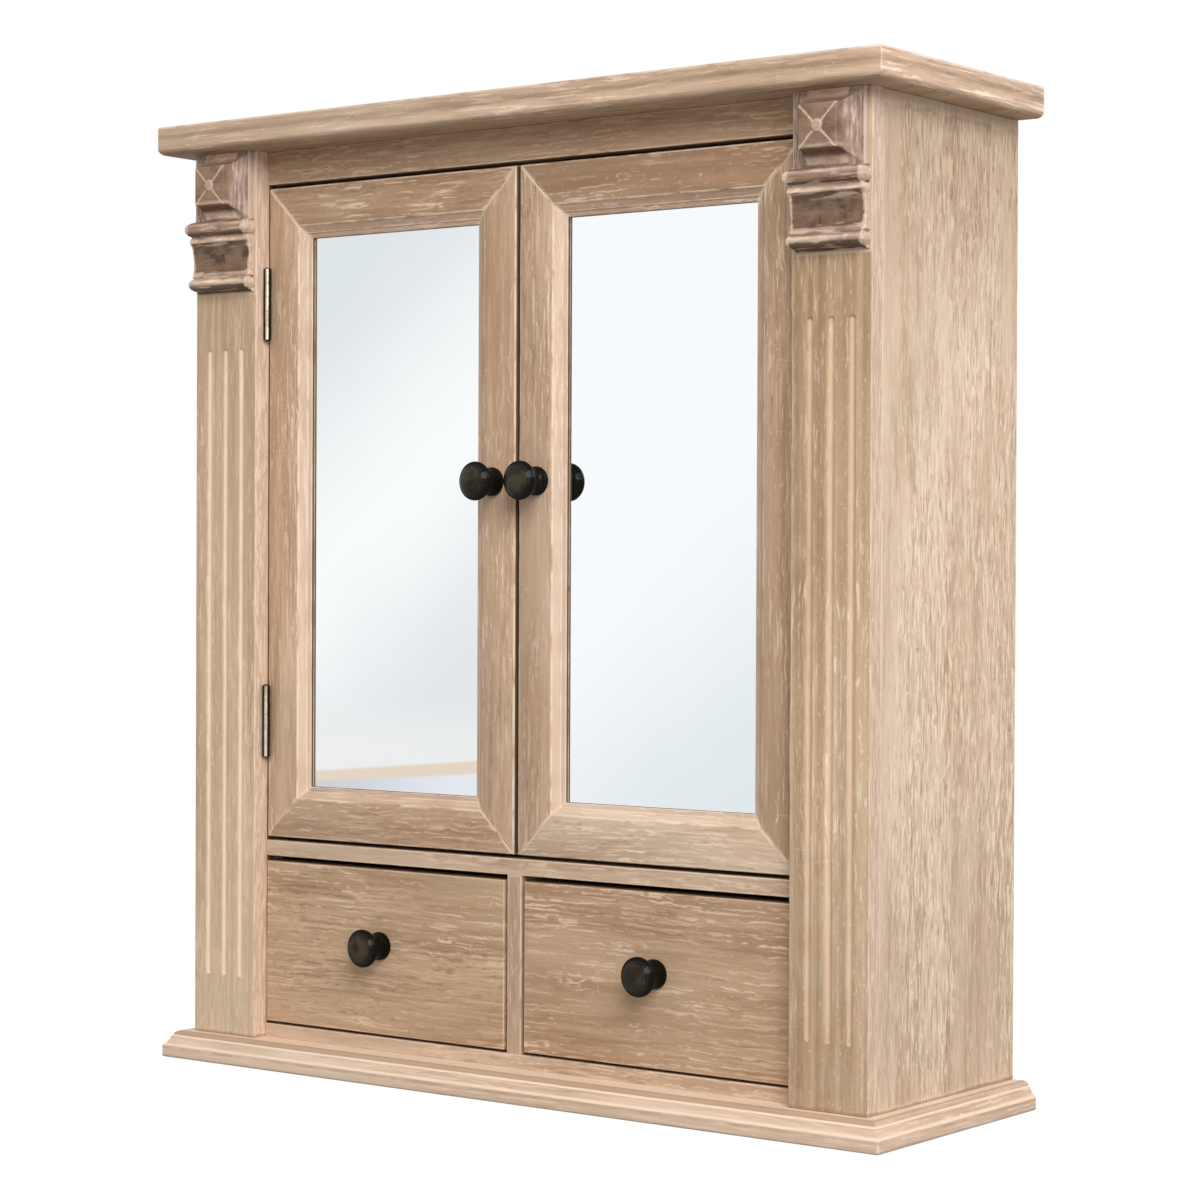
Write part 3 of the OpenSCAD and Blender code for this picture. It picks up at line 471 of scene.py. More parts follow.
# %% Where a point lies on its board
class Skin:
    """What a touch asks of a board: where a point is and which way it faces."""

    def __init__(self, recipe, box, split, grime, strokes):
        self.recipe = recipe
        self.box = box
        self.split = split
        self.grime = grime
        self.strokes = strokes
        self.depth = split[1] - box[0].y
        self.facing = recipe.split(recipe.ask("NewGeometry", "True Normal"))

    def inset(self, axis):
        """Distance to the nearer end of the board along an axis."""
        return (self.split[axis] - self.box[0][axis]).least(self.box[1][axis] - self.split[axis])

    def edge_distance(self):
        """Distance to the nearest arris of a board that is shaped like a box."""
        x, y, z = [self.inset(axis) for axis in range(3)]
        return x.least(y).most(x.most(y).least(z))

    def below_top(self, wobble):
        """Distance below the top of the board, measured unsteadily."""
        return self.box[1].z - self.split[2] + (self.grime - 0.5) * wobble


# %% The finish of one board
LIME = seen(238, 217, 194)
GRAIN_SWAY = 0.010
GRAIN_RELIEF = 0.0006


def limed_wood(name, box, along, tone, seed, turned=None, rough=1.0, length=34, lime=0.5,
               patch=0.5, worn=0.6, border=0.0016, ripple=0.0020, touches=()):
    """Limed wood: tone is the board's colour as it is seen, rough how strong the grain is."""
    material, recipe = new_finish(name)
    straight, split = grain_place(recipe, along, seed, turned)
    bent = bend_grain(recipe, straight, GRAIN_SWAY, ripple)
    strokes = recipe.noise(bent, length, 560, detail=2.5, roughness=0.55)
    streaks = recipe.noise(bent, 7, 120)
    bands = recipe.noise(bent, 2.2, 24)
    clusters = recipe.noise(bent, 12, 34).fade(0.40, 0.62)
    brushed = recipe.noise(bent, 5, 18).fade(0.38, 0.58) * 0.7 + 0.3
    grime = recipe.noise(straight, 55, 55, detail=3)
    patches = recipe.noise(straight, 5, 9)
    specks = recipe.noise(straight, 300, 480, detail=1).fade(0.70, 0.77)
    scratches = recipe.noise(straight, 420, 55, detail=1).fade(0.71, 0.78)
    band_share = 0.4 + 0.1 * rough
    layers = (
        (patches.fade(0.42, 0.68) * patch, (0.91, 0.87, 0.83)),
        (patches.fade(0.46, 0.30) * patch, (0.97, 1.0, 0.99)),
        (bands.fade(0.48, 0.70) * band_share, (0.87, 0.83, 0.79)),
        (bands.fade(0.50, 0.32) * band_share, (1.07, 1.08, 1.09)),
        (streaks.fade(0.50, 0.70) * (0.2 + 0.3 * rough), (0.84, 0.79, 0.74)),
        (streaks.fade(0.48, 0.30) * (0.3 + 0.2 * rough), (1.06, 1.06, 1.07)),
        (strokes.fade(0.46, 0.30) * brushed * (0.6 * rough), (0.75, 0.69, 0.63)),
        (strokes.fade(0.51, 0.63) * brushed * (0.85 * rough), (1.12, 1.13, 1.15)),
    )
    colour = seen(*tone)
    for share, factors in layers:
        colour = recipe.mix(share, colour, scaled(tone, *factors))
    flecks = strokes.fade(0.56, 0.68) * clusters
    lime_share = flecks.most(specks * 0.6).most(scratches * clusters * 0.5) * lime
    colour = recipe.mix(lime_share, colour, LIME)

    skin = Skin(recipe, box, split, grime, strokes)
    near_arris = skin.edge_distance() + (grime - 0.5) * (2.4 * border)
    on_arris = recipe.mark("arris").most(near_arris.fade(border, 0.3 * border) * 0.8)
    wear = on_arris * grime.fade(0.34, 0.58) * worn
    colour = recipe.mix(wear, colour, LIME)
    for touch in touches:
        colour = touch(skin, colour)
    height = (strokes + streaks * 0.5) * brushed + wear * 0.3
    recipe.finish({
        "Base Color": colour,
        "Roughness": 0.58 + strokes * 0.14,
        "Specular IOR Level": 0.22,
        "Normal": recipe.bump(height, strength=0.55 * rough, distance=GRAIN_RELIEF),
    })
    return material


# %% [markdown]
# ### Touches
#
# Some boards need one thing more: lime that settled in the flutes, painted shade on the
# walls of the joints between the doors, cream ledges along the base. Each is a small function
# that takes the skin of the board and its colour so far, and gives the colour back. Lengths
# are metres.

# %% Touches on the pilasters
CAPITAL_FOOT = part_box("right_capital")[0].z


def limed_flutes(tone, share):
    """Lime that stayed in the flutes, on the walls that look outwards."""
    def touch(skin, colour):
        cut = skin.depth.fade(0.0004, 0.0012) * skin.facing[1].fade(-0.15, -0.4)
        return skin.recipe.paint(cut * (share + skin.grime * 0.7), colour, tone)
    return touch


def front_noise(skin, sideways, upwards, detail=1):
    """Noise on the front of a pilaster, which is the same at every depth."""
    place = skin.recipe.join(skin.split[0], skin.split[2], skin.box[0].x)
    return skin.recipe.noise(place, sideways, upwards, detail, deep=1)


def lime_dots(skin, colour):
    """Rows of small dots of lime between the flutes."""
    dots = front_noise(skin, 520, 240).fade(0.66, 0.73)
    rows = front_noise(skin, 150, 3).fade(0.46, 0.56)
    front = skin.facing[1].fade(-0.6, -0.9)
    below = skin.split[2].fade(CAPITAL_FOOT - 0.03, CAPITAL_FOOT - 0.07)
    return skin.recipe.paint(dots * rows * front * below * 0.38, colour, (240, 217, 190))


def long_lines(share):
    """Paler and darker lines that run the whole length of a pilaster."""
    def touch(skin, colour):
        lines = front_noise(skin, 230, 1.6, 1.5)
        colour = skin.recipe.glaze(lines.fade(0.52, 0.64) * share, colour, 1.08, 1.09, 1.10)
        return skin.recipe.glaze(lines.fade(0.46, 0.34) * share, colour, 0.93, 0.92, 0.90)
    return touch


def green_patches(skin, colour):
    """Patches low on a board where the wood has turned a greyish green."""
    low = skin.split[2].fade(0.20, 0.08) * skin.grime.fade(0.40, 0.62)
    return skin.recipe.paint(low * 0.3, colour, (190, 176, 148))


def pale_flanks(skin, colour):
    """The narrow sides of a pilaster, with pinkish lime in broken streaks."""
    side = abs(skin.facing[0]).fade(0.5, 0.8) * skin.inset(0).fade(0.0012, 0.0008)
    streaks = skin.strokes.fade(0.40, 0.62)
    pink = skin.recipe.mix(streaks, seen(212, 183, 161), seen(238, 211, 189))
    return skin.recipe.mix(side * 0.85, colour, pink)


def limed_line(height, width):
    """A line of lime along the top of a pilaster, just below its capital."""
    def touch(skin, colour):
        line = skin.split[2].fade(height - width, height - 0.5 * width)
        line = line * skin.facing[1].fade(-0.6, -0.9) * (0.35 + skin.grime * 0.5)
        return skin.recipe.paint(line, colour, (226, 202, 174))
    return touch


# %% Touches on the door bars
def limed_mitres(along, end):
    """Broken lime along the two mitres of a door bar, whose outer side is at that end."""
    across, lengthwise = (2, 0) if along == "x" else (0, 2)

    def touch(skin, colour):
        outer = abs(skin.split[across] - skin.box[end][across])
        gap = abs(skin.inset(lengthwise) - outer) + (skin.grime - 0.5) * 0.004
        line = gap.fade(0.0028, 0.0010) * skin.grime.fade(0.38, 0.52)
        return skin.recipe.paint(line * 0.75, colour, (232, 206, 180))
    return touch


def painted_shade_walls(axis, end):
    """The walls across a bar, painted as shade: brown in the joint at its outer end, darker in
    the reveal of the mirror.
    """
    def touch(skin, colour):
        facing = abs(skin.facing[axis]).fade(0.85, 0.97) * skin.depth.fade(0.0006, 0.0012)
        outer, inner = [
            abs(skin.split[axis] - skin.box[side][axis]).fade(0.0004, 0.0002) * facing
            for side in (end, 1 - end)
        ]
        fading = outer * skin.depth.fade(0.011, 0.005)
        # Painted shade: brown on the outer wall, fading with depth, and darker in the reveal.
        colour = skin.recipe.paint(fading * 0.93, colour, (96, 73, 54))
        return skin.recipe.paint(inner * 0.93, colour, (66, 48, 33))
    return touch


def limed_moulding(share):
    """Lime that stayed on the moulding round a mirror."""
    def touch(skin, colour):
        on = skin.depth.band(0.0005, 0.0011, 0.0055, 0.0060)
        return skin.recipe.paint(on * (share * 0.5 + skin.grime * share), colour, (232, 206, 186))
    return touch


# %% Touches on side panels, crown and base
def darker_foot(height):
    """Darker along the foot of an upright board, just above the base."""
    def touch(skin, colour):
        foot = (skin.split[2] + skin.grime * 0.004).fade(height + 0.0044, height + 0.0030)
        return skin.recipe.paint(foot * 0.6, colour, (150, 121, 98))
    return touch


def rubbed_front(width, tone):
    """A smooth strip behind the front edge of a side panel, worn flat by hands."""
    def touch(skin, colour):
        strip = (skin.depth + skin.grime * 0.006).fade(width + 0.004, width)
        return skin.recipe.paint(strip * 0.3, colour, tone)
    return touch


def toned_height(start, end, *ratios):
    """A board that gets slowly darker or lighter from one height to another."""
    def touch(skin, colour):
        return skin.recipe.glaze(skin.split[2].fade(start, end), colour, *ratios)
    return touch


def toned_length(start, end, *ratios):
    """The front of a board that gets slowly lighter from one place along it to another."""
    def touch(skin, colour):
        share = skin.split[0].fade(start, end) * abs(skin.facing[0]).fade(0.8, 0.5)
        return skin.recipe.glaze(share, colour, *ratios)
    return touch


def toned_ends(*ratios):
    """The two ends of a moulded board, lighter or darker than its front."""
    def touch(skin, colour):
        return skin.recipe.glaze(abs(skin.facing[0]).fade(0.5, 0.8), colour, *ratios)
    return touch


def painted_shade_round(skin, colour):
    """The rounded lower edge of the crown board, painted darker as shade where it faces down."""
    return skin.recipe.glaze(skin.facing[2].fade(-0.15, -0.75), colour, 0.84, 0.82, 0.78)


def limed_ledges(skin, colour):
    """The moulding of the base: cream on its ledges and arrises, brown on the upper round."""
    recipe, grime = skin.recipe, skin.grime
    height = skin.split[2] - skin.box[0].z + (grime - 0.5) * 0.0006
    from_edge = skin.depth.least(skin.inset(0))
    at_end = abs(skin.facing[0]).fade(0.2, 0.5)
    lower_brown = height.band(0.0052, 0.0062, 0.0074, 0.0080)
    lower_ledge = height.band(0.0078, 0.0083, 0.0092, 0.0098)
    upper_ledge = height.band(0.0138, 0.0142, 0.0149, 0.0152)
    top = height.fade(0.0170, 0.0176) * from_edge.fade(0.0092, 0.0104)
    upper_brown = height.fade(0.0150, 0.0154) * from_edge.fade(0.0104, 0.0092)
    foot = height.fade(0.0022, 0.0008)
    for share, tone in (
        (lower_brown * grime.fade(0.3, 0.6) * 0.6, (184, 154, 130)),
        (lower_ledge * (0.4 + grime * 0.7), (248, 222, 198)),
        (upper_ledge * (0.5 + grime * 0.7), (248, 222, 198)),
        (top * (0.3 + grime * 0.6), (246, 220, 195)),
        (upper_brown * (1 - at_end * 0.7) * 0.8, (182, 151, 125)),
        (foot * 0.6, (168, 142, 120)),
    ):
        colour = recipe.paint(share, colour, tone)
    return colour


def limed_bands(skin, colour):
    """The fascia of the crown board: paler and darker bands along it and a limed arris."""
    down = skin.below_top(0.0035)
    upright = abs(skin.facing[2]).fade(0.9, 0.8)
    brown = down.band(0.0048, 0.0066, 0.0080, 0.0095) * upright
    pale = down.band(0.0095, 0.0115, 0.0145, 0.0165) * upright
    colour = skin.recipe.glaze(brown * 0.8, colour, 0.90, 0.88, 0.86)
    colour = skin.recipe.glaze(pale * 0.8, colour, 1.07, 1.07, 1.07)
    arris = down.fade(0.0024, 0.0008) * skin.grime.fade(0.36, 0.56) * upright
    return skin.recipe.paint(arris * 0.45, colour, (236, 212, 190))


def limed_shoulder(skin, colour):
    """Lime that was smeared against the crown board, with a wobbly brown line below it."""
    down = skin.below_top(0.012)
    colour = skin.recipe.paint(down.fade(0.0085, 0.0060) * 0.45, colour, (226, 200, 176))
    line = abs(down - 0.0090).fade(0.0020, 0.0003) * skin.grime.fade(0.44, 0.60)
    return skin.recipe.paint(line * 0.45, colour, (172, 142, 117))


# %% [markdown]
# ## Eased boards
#
# A real board has no knife edge: sanding rounds each arris, and lime catches there. The
# packed boards have sharp edges, so each visible board is copied, its doubled points are
# merged, its flat triangles are joined and its arrises are bevelled by half a millimetre.
# The bevel's faces carry a mark, `arris`, that the limed finish reads.

# %% Copy and ease a board
SAME_POINT = 1e-6
FLAT_ANGLE, ARRIS_ANGLE = math.radians(0.5), math.radians(28)


def cad_copy(node):
    """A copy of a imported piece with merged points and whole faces."""
    shape = bmesh.new()
    shape.from_mesh(cad[node].data)
    bmesh.ops.remove_doubles(shape, verts=shape.verts, dist=SAME_POINT)
    bmesh.ops.dissolve_limit(
        shape, angle_limit=FLAT_ANGLE, verts=shape.verts, edges=shape.edges
    )
    return shape


def shade(shape, sharp=20):
    """Smooth shading with sharp edges where two faces meet at a larger angle."""
    for face in shape.faces:
        face.smooth = True
    for edge in shape.edges:
        edge.smooth = edge.is_manifold and edge.calc_face_angle(0) < math.radians(sharp)


def add_piece(shape, name, node, finish):
    """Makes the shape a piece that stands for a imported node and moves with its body."""
    piece = new_object(shape, name, finish)
    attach(piece, cad[node]["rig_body"])
    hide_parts(node)


def bevel(shape, edges, width, clamp=False):
    """Rounds edges in two steps and gives back what the bevel made."""
    return bmesh.ops.bevel(
        shape, geom=edges, offset=width, offset_type="OFFSET", segments=2, profile=0.5,
        affect="EDGES", clamp_overlap=clamp, material=-1,
    )


def eased(node, finish, width=0.0005, shortest=0.004):
    """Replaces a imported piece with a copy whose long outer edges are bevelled."""
    shape = cad_copy(node)
    mark = shape.faces.layers.float.new("arris")
    arrises = [
        edge for edge in shape.edges
        if edge.is_manifold and edge.is_convex and edge.calc_length() > shortest
        and edge.calc_face_angle(0) > ARRIS_ANGLE
    ]
    for face in bevel(shape, arrises, width)["faces"]:
        face[mark] = 1.0
    shade(shape)
    print(node, "eased along", len(arrises), "edges")
    add_piece(shape, node + "_eased", node, finish)


# %% [markdown]
# ## The carcass
#
# The side panels are the lightest boards, the frieze and the stiles behind the pilasters
# are a shade browner, and the grain runs along each board. Every board gets its own seed,
# so that no figure runs on from one board to the next.

# %% Carcass boards
BASE_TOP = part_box("base_board")[1].z
BOARD_EASE = 0.0006
SIDE = dict(
    along="z", tone=(226, 201, 176), lime=0.55, worn=0.95, border=0.0045, length=58, rough=1.2,
    # The top of the panel is darker, painted shade under the crown; it also gets a little darker
    # towards the bottom.
    touches=(toned_height(0.44, 0.61, 0.87, 0.85, 0.83),
             toned_height(0.22, 0.08, 0.97, 0.97, 0.97),
             rubbed_front(0.010, (222, 196, 171)), darker_foot(BASE_TOP), limed_shoulder),
)
PLAIN = dict(along="x", lime=0.3, rough=0.7)
CARCASS = {
    "crown_board": dict(
        along="x", turned="y", tone=(197, 171, 147), lime=0.6, worn=0.3, rough=1.0, length=22,
        ripple=0.0008,
        touches=(limed_bands, toned_length(0.24, 0.30, 1.09, 1.09, 1.11),
                 toned_ends(1.13, 1.13, 1.15), painted_shade_round),
    ),
    "base_board": dict(
        along="x", turned="y", tone=(220, 194, 171), lime=0.35, worn=0.8, rough=0.5, length=22,
        border=0.0022, ripple=0.0010,
        touches=(toned_ends(1.04, 1.04, 1.04), limed_ledges),
    ),
    "left_side_panel": SIDE,
    "right_side_panel": SIDE,
    "frieze_rail": dict(along="x", tone=(188, 157, 128), lime=0.3, rough=0.8, length=24),
    "bottom_rail": dict(PLAIN, tone=(207, 181, 157)),
    "deck_board": dict(PLAIN, tone=(203, 175, 150)),
    "drawer_partition": dict(PLAIN, along="z", tone=(191, 163, 138)),
    "left_frame_stile": dict(PLAIN, along="z", tone=(204, 175, 150),
                             touches=(painted_shade_walls(0, 1),)),
    "right_frame_stile": dict(PLAIN, along="z", tone=(190, 160, 134),
                              touches=(painted_shade_walls(0, 0),)),
}
for seed, (node, look) in enumerate(CARCASS.items(), 1):
    eased(node, limed_wood(node + "_limed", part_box(node), seed=seed, **look), BOARD_EASE)

# %% Pilasters
for seed, node, tone, lines, cream, share in (
    (21, "left_pilaster", (214, 187, 159), 0.5, (244, 220, 192), 0.45),
    (22, "right_pilaster", (194, 165, 136), 1.0, (222, 193, 164), 0.30),
):
    finish = limed_wood(
        node + "_limed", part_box(node), "z", tone, seed, rough=0.55, length=48, worn=0.35,
        # Darker towards the top of the pilaster: painted shade under the capital and the crown.
        touches=(long_lines(lines), toned_height(0.40, 0.52, 0.94, 0.93, 0.91), green_patches,
                 limed_flutes(cream, share), lime_dots, pale_flanks,
                 limed_line(CAPITAL_FOOT, 0.0026), darker_foot(BASE_TOP)),
    )
    eased(node, finish, BOARD_EASE, shortest=0.02)

# %% Door bars: grain, tone, lime on the moulding, and which end is the outer one
BARS = {
    "left_door_outer_stile": ("z", (206, 176, 149), 0.5, 0),
    "left_door_inner_stile": ("z", (192, 161, 134), 0.25, 1),
    "left_door_top_rail": ("x", (186, 155, 126), 0.2, 1),
    "left_door_bottom_rail": ("x", (185, 154, 128), 0.35, 0),
    "right_door_outer_stile": ("z", (182, 152, 124), 0.25, 1),
    "right_door_inner_stile": ("z", (195, 165, 140), 0.5, 0),
    "right_door_top_rail": ("x", (175, 143, 116), 0.2, 1),
    "right_door_bottom_rail": ("x", (211, 187, 163), 0.35, 0),
}
for seed, (node, (along, tone, moulding, end)) in enumerate(BARS.items(), 31):
    finish = limed_wood(
        node + "_limed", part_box(node), along, tone, seed, length=26, lime=0.55, worn=0.75,
        rough=0.9, patch=0.75,
        touches=(limed_moulding(moulding), limed_mitres(along, end),
                 painted_shade_walls(0 if along == "z" else 2, end)),
    )
    eased(node, finish)

# %% Drawer fronts
for seed, side, tone in ((51, "left", (192, 161, 131)), (52, "right", (188, 157, 128))):
    node = f"{side}_drawer_front"
    finish = limed_wood(
        node + "_limed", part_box(node), "x", tone, seed, length=18, lime=0.55,
        patch=0.8, worn=0.45, border=0.0012,
    )
    eased(node, finish, BOARD_EASE, shortest=0.02)

# %% [markdown]
# ## Carved capitals
#
# The capitals are cast or carved in one piece and stained darker, and then worn: every ridge
# is pinkish white, every hollow is dark, partly from stain and partly from painted shade.
# Their tones by height also hold painted highlights on the tops of the beads and painted
# shade under them. A bevel can't follow such a form, so the copy is remeshed with small even
# faces and smoothed. The shader can then read how convex each point is, which Blender calls
# pointiness, and put the wear there.

# %% Worn carving
BLOCK_HEIGHT = 0.0462
FACE_HALF = 0.0132
DARK, SHADE, BROWN = (86, 64, 49), (106, 82, 65), (124, 98, 79)
STAINED, WORN, PALE = (139, 112, 92), (155, 128, 109), (184, 157, 138)
LIME_AND_HIGHLIGHT, PAINTED_LIGHT = (222, 194, 172), (238, 209, 185)
# The bands hold painted light and shade as well as stain: the palest tones lighten the top flare,
# which lies in the crown's shadow, and the lens under the face; pale bands are highlights on the
# tops of the beads, and the darkest are shade under them and under the face.
BANDS = [  # millimetres below the top, and the tone from there on
    (0, PAINTED_LIGHT), (4.2, PAINTED_LIGHT), (5.9, PALE), (7.1, WORN), (8.9, BROWN), (10.5, STAINED),
    (33, STAINED), (34.8, PALE), (36, STAINED), (37.5, SHADE), (39, BROWN), (41, LIME_AND_HIGHLIGHT),
    (43.8, PAINTED_LIGHT), (45, WORN), (46.2, SHADE), (47.3, BROWN), (48.5, PALE), (50.4, WORN),
    (53.0, WORN), (54.4, SHADE), (56, DARK), (57.6, LIME_AND_HIGHLIGHT), (59.8, LIME_AND_HIGHLIGHT), (61, SHADE),
    (66, SHADE), (72, BROWN), (80.4, SHADE), (81.6, PALE), (84, WORN), (85.3, BROWN),
    (87.2, LIME_AND_HIGHLIGHT), (94.8, SHADE),
]
BANDS_DEPTH = BANDS[-1][0]
CARVING_RELIEF = 0.0006


def cross_and_boss(aside, rise, wobble):
    """Where the carved cross and the ring of the boss are, on the face of the block."""
    diagonal = abs(abs(aside) - abs(rise)) + wobble * 0.0022
    inside = abs(aside).most(abs(rise)).fade(FACE_HALF + 0.0012, FACE_HALF - 0.0008)
    from_boss = (aside * aside + rise * rise) ** 0.5 + wobble * 0.0012
    ring = abs(from_boss - 0.0030).fade(0.0011, 0.0004)
    cross = diagonal.fade(0.0015, 0.0005) * inside * from_boss.fade(0.0026, 0.0034)
    return cross.most(ring), from_boss.fade(0.0024, 0.0016)


def carved_wood(name, box, seed, ratio):
    """Dark stained carving: pale on ridges, bead ends and ledges, dark in hollows, with painted
    highlights and shade.
    """
    material, recipe = new_finish(name)
    place, split = grain_place(recipe, "x", seed)
    middle = (box[0] + box[1]) / 2
    half_width = box[1].x - middle.x
    block_foot = box[1].z - BLOCK_HEIGHT
    down = box[1].z - split[2]
    aside, rise = split[0] - middle.x, split[2] - (box[1].z - BLOCK_HEIGHT / 2)
    cloud = recipe.noise(place, 80, 110, detail=3, roughness=0.6)
    smear = recipe.noise(place, 700, 75)
    fine = recipe.noise(place, 90, 700)
    spots = recipe.noise(place, 420, 420)
    smears_and_highlights = recipe.noise(place, 55, 330, detail=3)
    convex = recipe.ask("NewGeometry", "Pointiness")
    upward = recipe.split(recipe.ask("NewGeometry", "Normal"))[2]
    on_block = split[2].fade(block_foot - 0.0002, block_foot + 0.0006)
    below = 1 - on_block

    # The tones from top to foot, with painted light and shade among them, worn and smeared.
    fall = (down + (cloud - 0.5) * 0.0016 + (fine - 0.5) * 0.0008) * (1000 / BANDS_DEPTH)
    stops = [
        (depth / BANDS_DEPTH, scaled(tone, ratio, ratio, ratio)) for depth, tone in BANDS
    ]
    colour = recipe.add("ValToRGB", {"stops": stops}, {0: fall})
    hollow = fall.band(0.66, 0.70, 0.82, 0.85)
    beads = below * (1 - hollow)
    foot_bead = down.fade(0.0868, 0.0876)
    # Painted shade on the underside of the foot bead.
    colour = recipe.paint(foot_bead * upward.fade(0.2, -0.5) * 0.9, colour, DARK)
    colour = recipe.glaze(cloud.fade(0.48, 0.34) * 0.8, colour, 0.84, 0.82, 0.80)
    colour = recipe.glaze(cloud.fade(0.52, 0.66) * 0.7, colour, 1.16, 1.15, 1.13)
    colour = recipe.glaze(fine.fade(0.50, 0.64) * 0.6, colour, 0.87, 0.85, 0.83)
    # Pale streaks along the beads are painted highlights; the dark streaks are smears.
    colour = recipe.paint(smears_and_highlights.fade(0.52, 0.62) * beads * 0.5, colour, (222, 198, 176))
    colour = recipe.paint(smears_and_highlights.fade(0.45, 0.35) * beads * 0.3, colour, (112, 86, 68))
    colour = recipe.paint(hollow * cloud.fade(0.47, 0.62) * 0.8, colour, (136, 107, 83))
    colour = recipe.paint(hollow * cloud.fade(0.46, 0.36) * 0.8, colour, (82, 61, 48))

    # The sides of the block, which flare out from its face, and their ridges and rims.
    flare = abs(aside).fade(FACE_HALF + 0.0004, FACE_HALF + 0.0022) * on_block
    colour = recipe.paint(flare * 0.8, colour, (158, 132, 117))
    colour = recipe.paint(flare * smear.fade(0.46, 0.64) * 0.65, colour, (212, 187, 170))
    colour = recipe.paint(flare * smear.fade(0.46, 0.32) * 0.45, colour, (112, 88, 72))
    from_middle = abs(aside).most(abs(rise))
    off_face = 1 - on_block * from_middle.fade(FACE_HALF + 0.0022, FACE_HALF + 0.001)
    ridge = (convex + (cloud - 0.5) * 0.02).fade(0.514, 0.545) * off_face
    colour = recipe.paint(ridge * spots.fade(0.3, 0.5) * 0.65, colour, (222, 199, 183))
    rim = (abs(aside) + (spots - 0.5) * 0.002).fade(half_width - 0.0042, half_width - 0.0034)
    colour = recipe.paint(rim * on_block * 0.8, colour, (208, 184, 168))

    # The ends of the beads, and the lime in the cross.
    bead_end = (abs(aside) + (cloud - 0.5) * 0.006).fade(0.0238, 0.0256) * below
    pale_end = recipe.mix(spots.fade(0.34, 0.66), seen(202, 175, 155), seen(226, 201, 182))
    colour = recipe.mix(bead_end * 0.92, colour, pale_end)
    carving, boss = cross_and_boss(aside, rise, spots - 0.5)
    on_front = on_block * split[1].fade(box[0].y + 0.003, box[0].y + 0.002)
    colour = recipe.paint(carving * on_front * 0.85, colour, (206, 180, 156))
    colour = recipe.paint(boss * on_front * 0.6, colour, (212, 185, 162))
    relief = spots * 0.5 + cloud + smear * flare
    recipe.finish({
        "Base Color": colour,
        "Roughness": 0.5 + cloud * 0.2,
        "Specular IOR Level": 0.25,
        "Normal": recipe.bump(relief, strength=0.5, distance=CARVING_RELIEF),
    })
    return material


# %% Carve the capitals
CELL = 0.0005
SMOOTHINGS = 2


def carved(node, finish):
    """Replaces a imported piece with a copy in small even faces, smoothed a little."""
    shape = cad_copy(node)
    rough = bpy.data.meshes.new(node + "_rough")
    shape.to_mesh(rough)
    shape.free()
    block = bpy.data.objects.new(node + "_rough", rough)
    scene.collection.objects.link(block)
    remesh = block.modifiers.new("small_faces", "REMESH")
    remesh.mode = "VOXEL"
    remesh.voxel_size = CELL
    even = bpy.data.meshes.new_from_object(
        block.evaluated_get(bpy.context.evaluated_depsgraph_get())
    )
    bpy.data.objects.remove(block)
    shape = bmesh.new()
    shape.from_mesh(even)
    for _ in range(SMOOTHINGS):
        bmesh.ops.smooth_vert(
            shape, verts=shape.verts, factor=0.5, use_axis_x=True, use_axis_y=True,
            use_axis_z=True,
        )
    shade(shape, sharp=60)
    print(node, "carved in", len(shape.faces), "faces")
    add_piece(shape, node + "_carved", node, finish)


for seed, node, ratio in ((61, "left_capital", 1.07), (62, "right_capital", 1.0)):
    carved(node, carved_wood(node + "_worn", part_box(node), seed, ratio))

# %% [markdown]
# ## Mirrors
#
# A mirror is a sheet of glass with silver on its back. The glass itself hardly shows, so a
# polished metal plate with eased edges takes the place of the sheet. It gives the right
# reflections without any clear layer, and the wall of the reveal, painted brown and dark as
# shade, shows in it again.

# %% Silvered plates
PLATE_EASE = 0.0002


def plate(low, high):
    """A sheet between two corners with eased edges."""
    shape = bmesh.new()
    bmesh.ops.create_cube(shape, size=1)
    bmesh.ops.scale(shape, verts=shape.verts, vec=high - low)
    bmesh.ops.translate(shape, verts=shape.verts, vec=(high + low) / 2)
    bevel(shape, shape.edges[:], PLATE_EASE, clamp=True)
    shade(shape)
    return shape


silver, recipe = new_finish("silvered_glass")
place, _ = grain_place(recipe, "z", 3)
cloud = recipe.noise(place, 3, 5)
recipe.finish({
    "Base Color": recipe.mix(cloud, (0.955, 0.960, 0.962, 1), (0.985, 0.988, 0.99, 1)),
    "Metallic": 1.0,
    "Roughness": 0.006 + cloud * 0.01,
})
for node in ("left_mirror", "right_mirror"):
    low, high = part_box(node)
    add_piece(plate(low, high), node + "_silver", node, silver)
    print(node, "silvered")

# %% [markdown]
# ## Knobs and hinges
#
# The knobs are turned brass with a dark bronze skin: a foot, a thin neck and a head with a
# rolled rim and a low dome. A turned piece is a profile spun about its axis, so a few
# points are spun. The skin has worn thin on the dome, where an olive tone shows; towards
# the rim of the dome the olive fades to black as painted shade. The hinges keep their
# imported shape and get aged brass, with a painted highlight down each barrel.

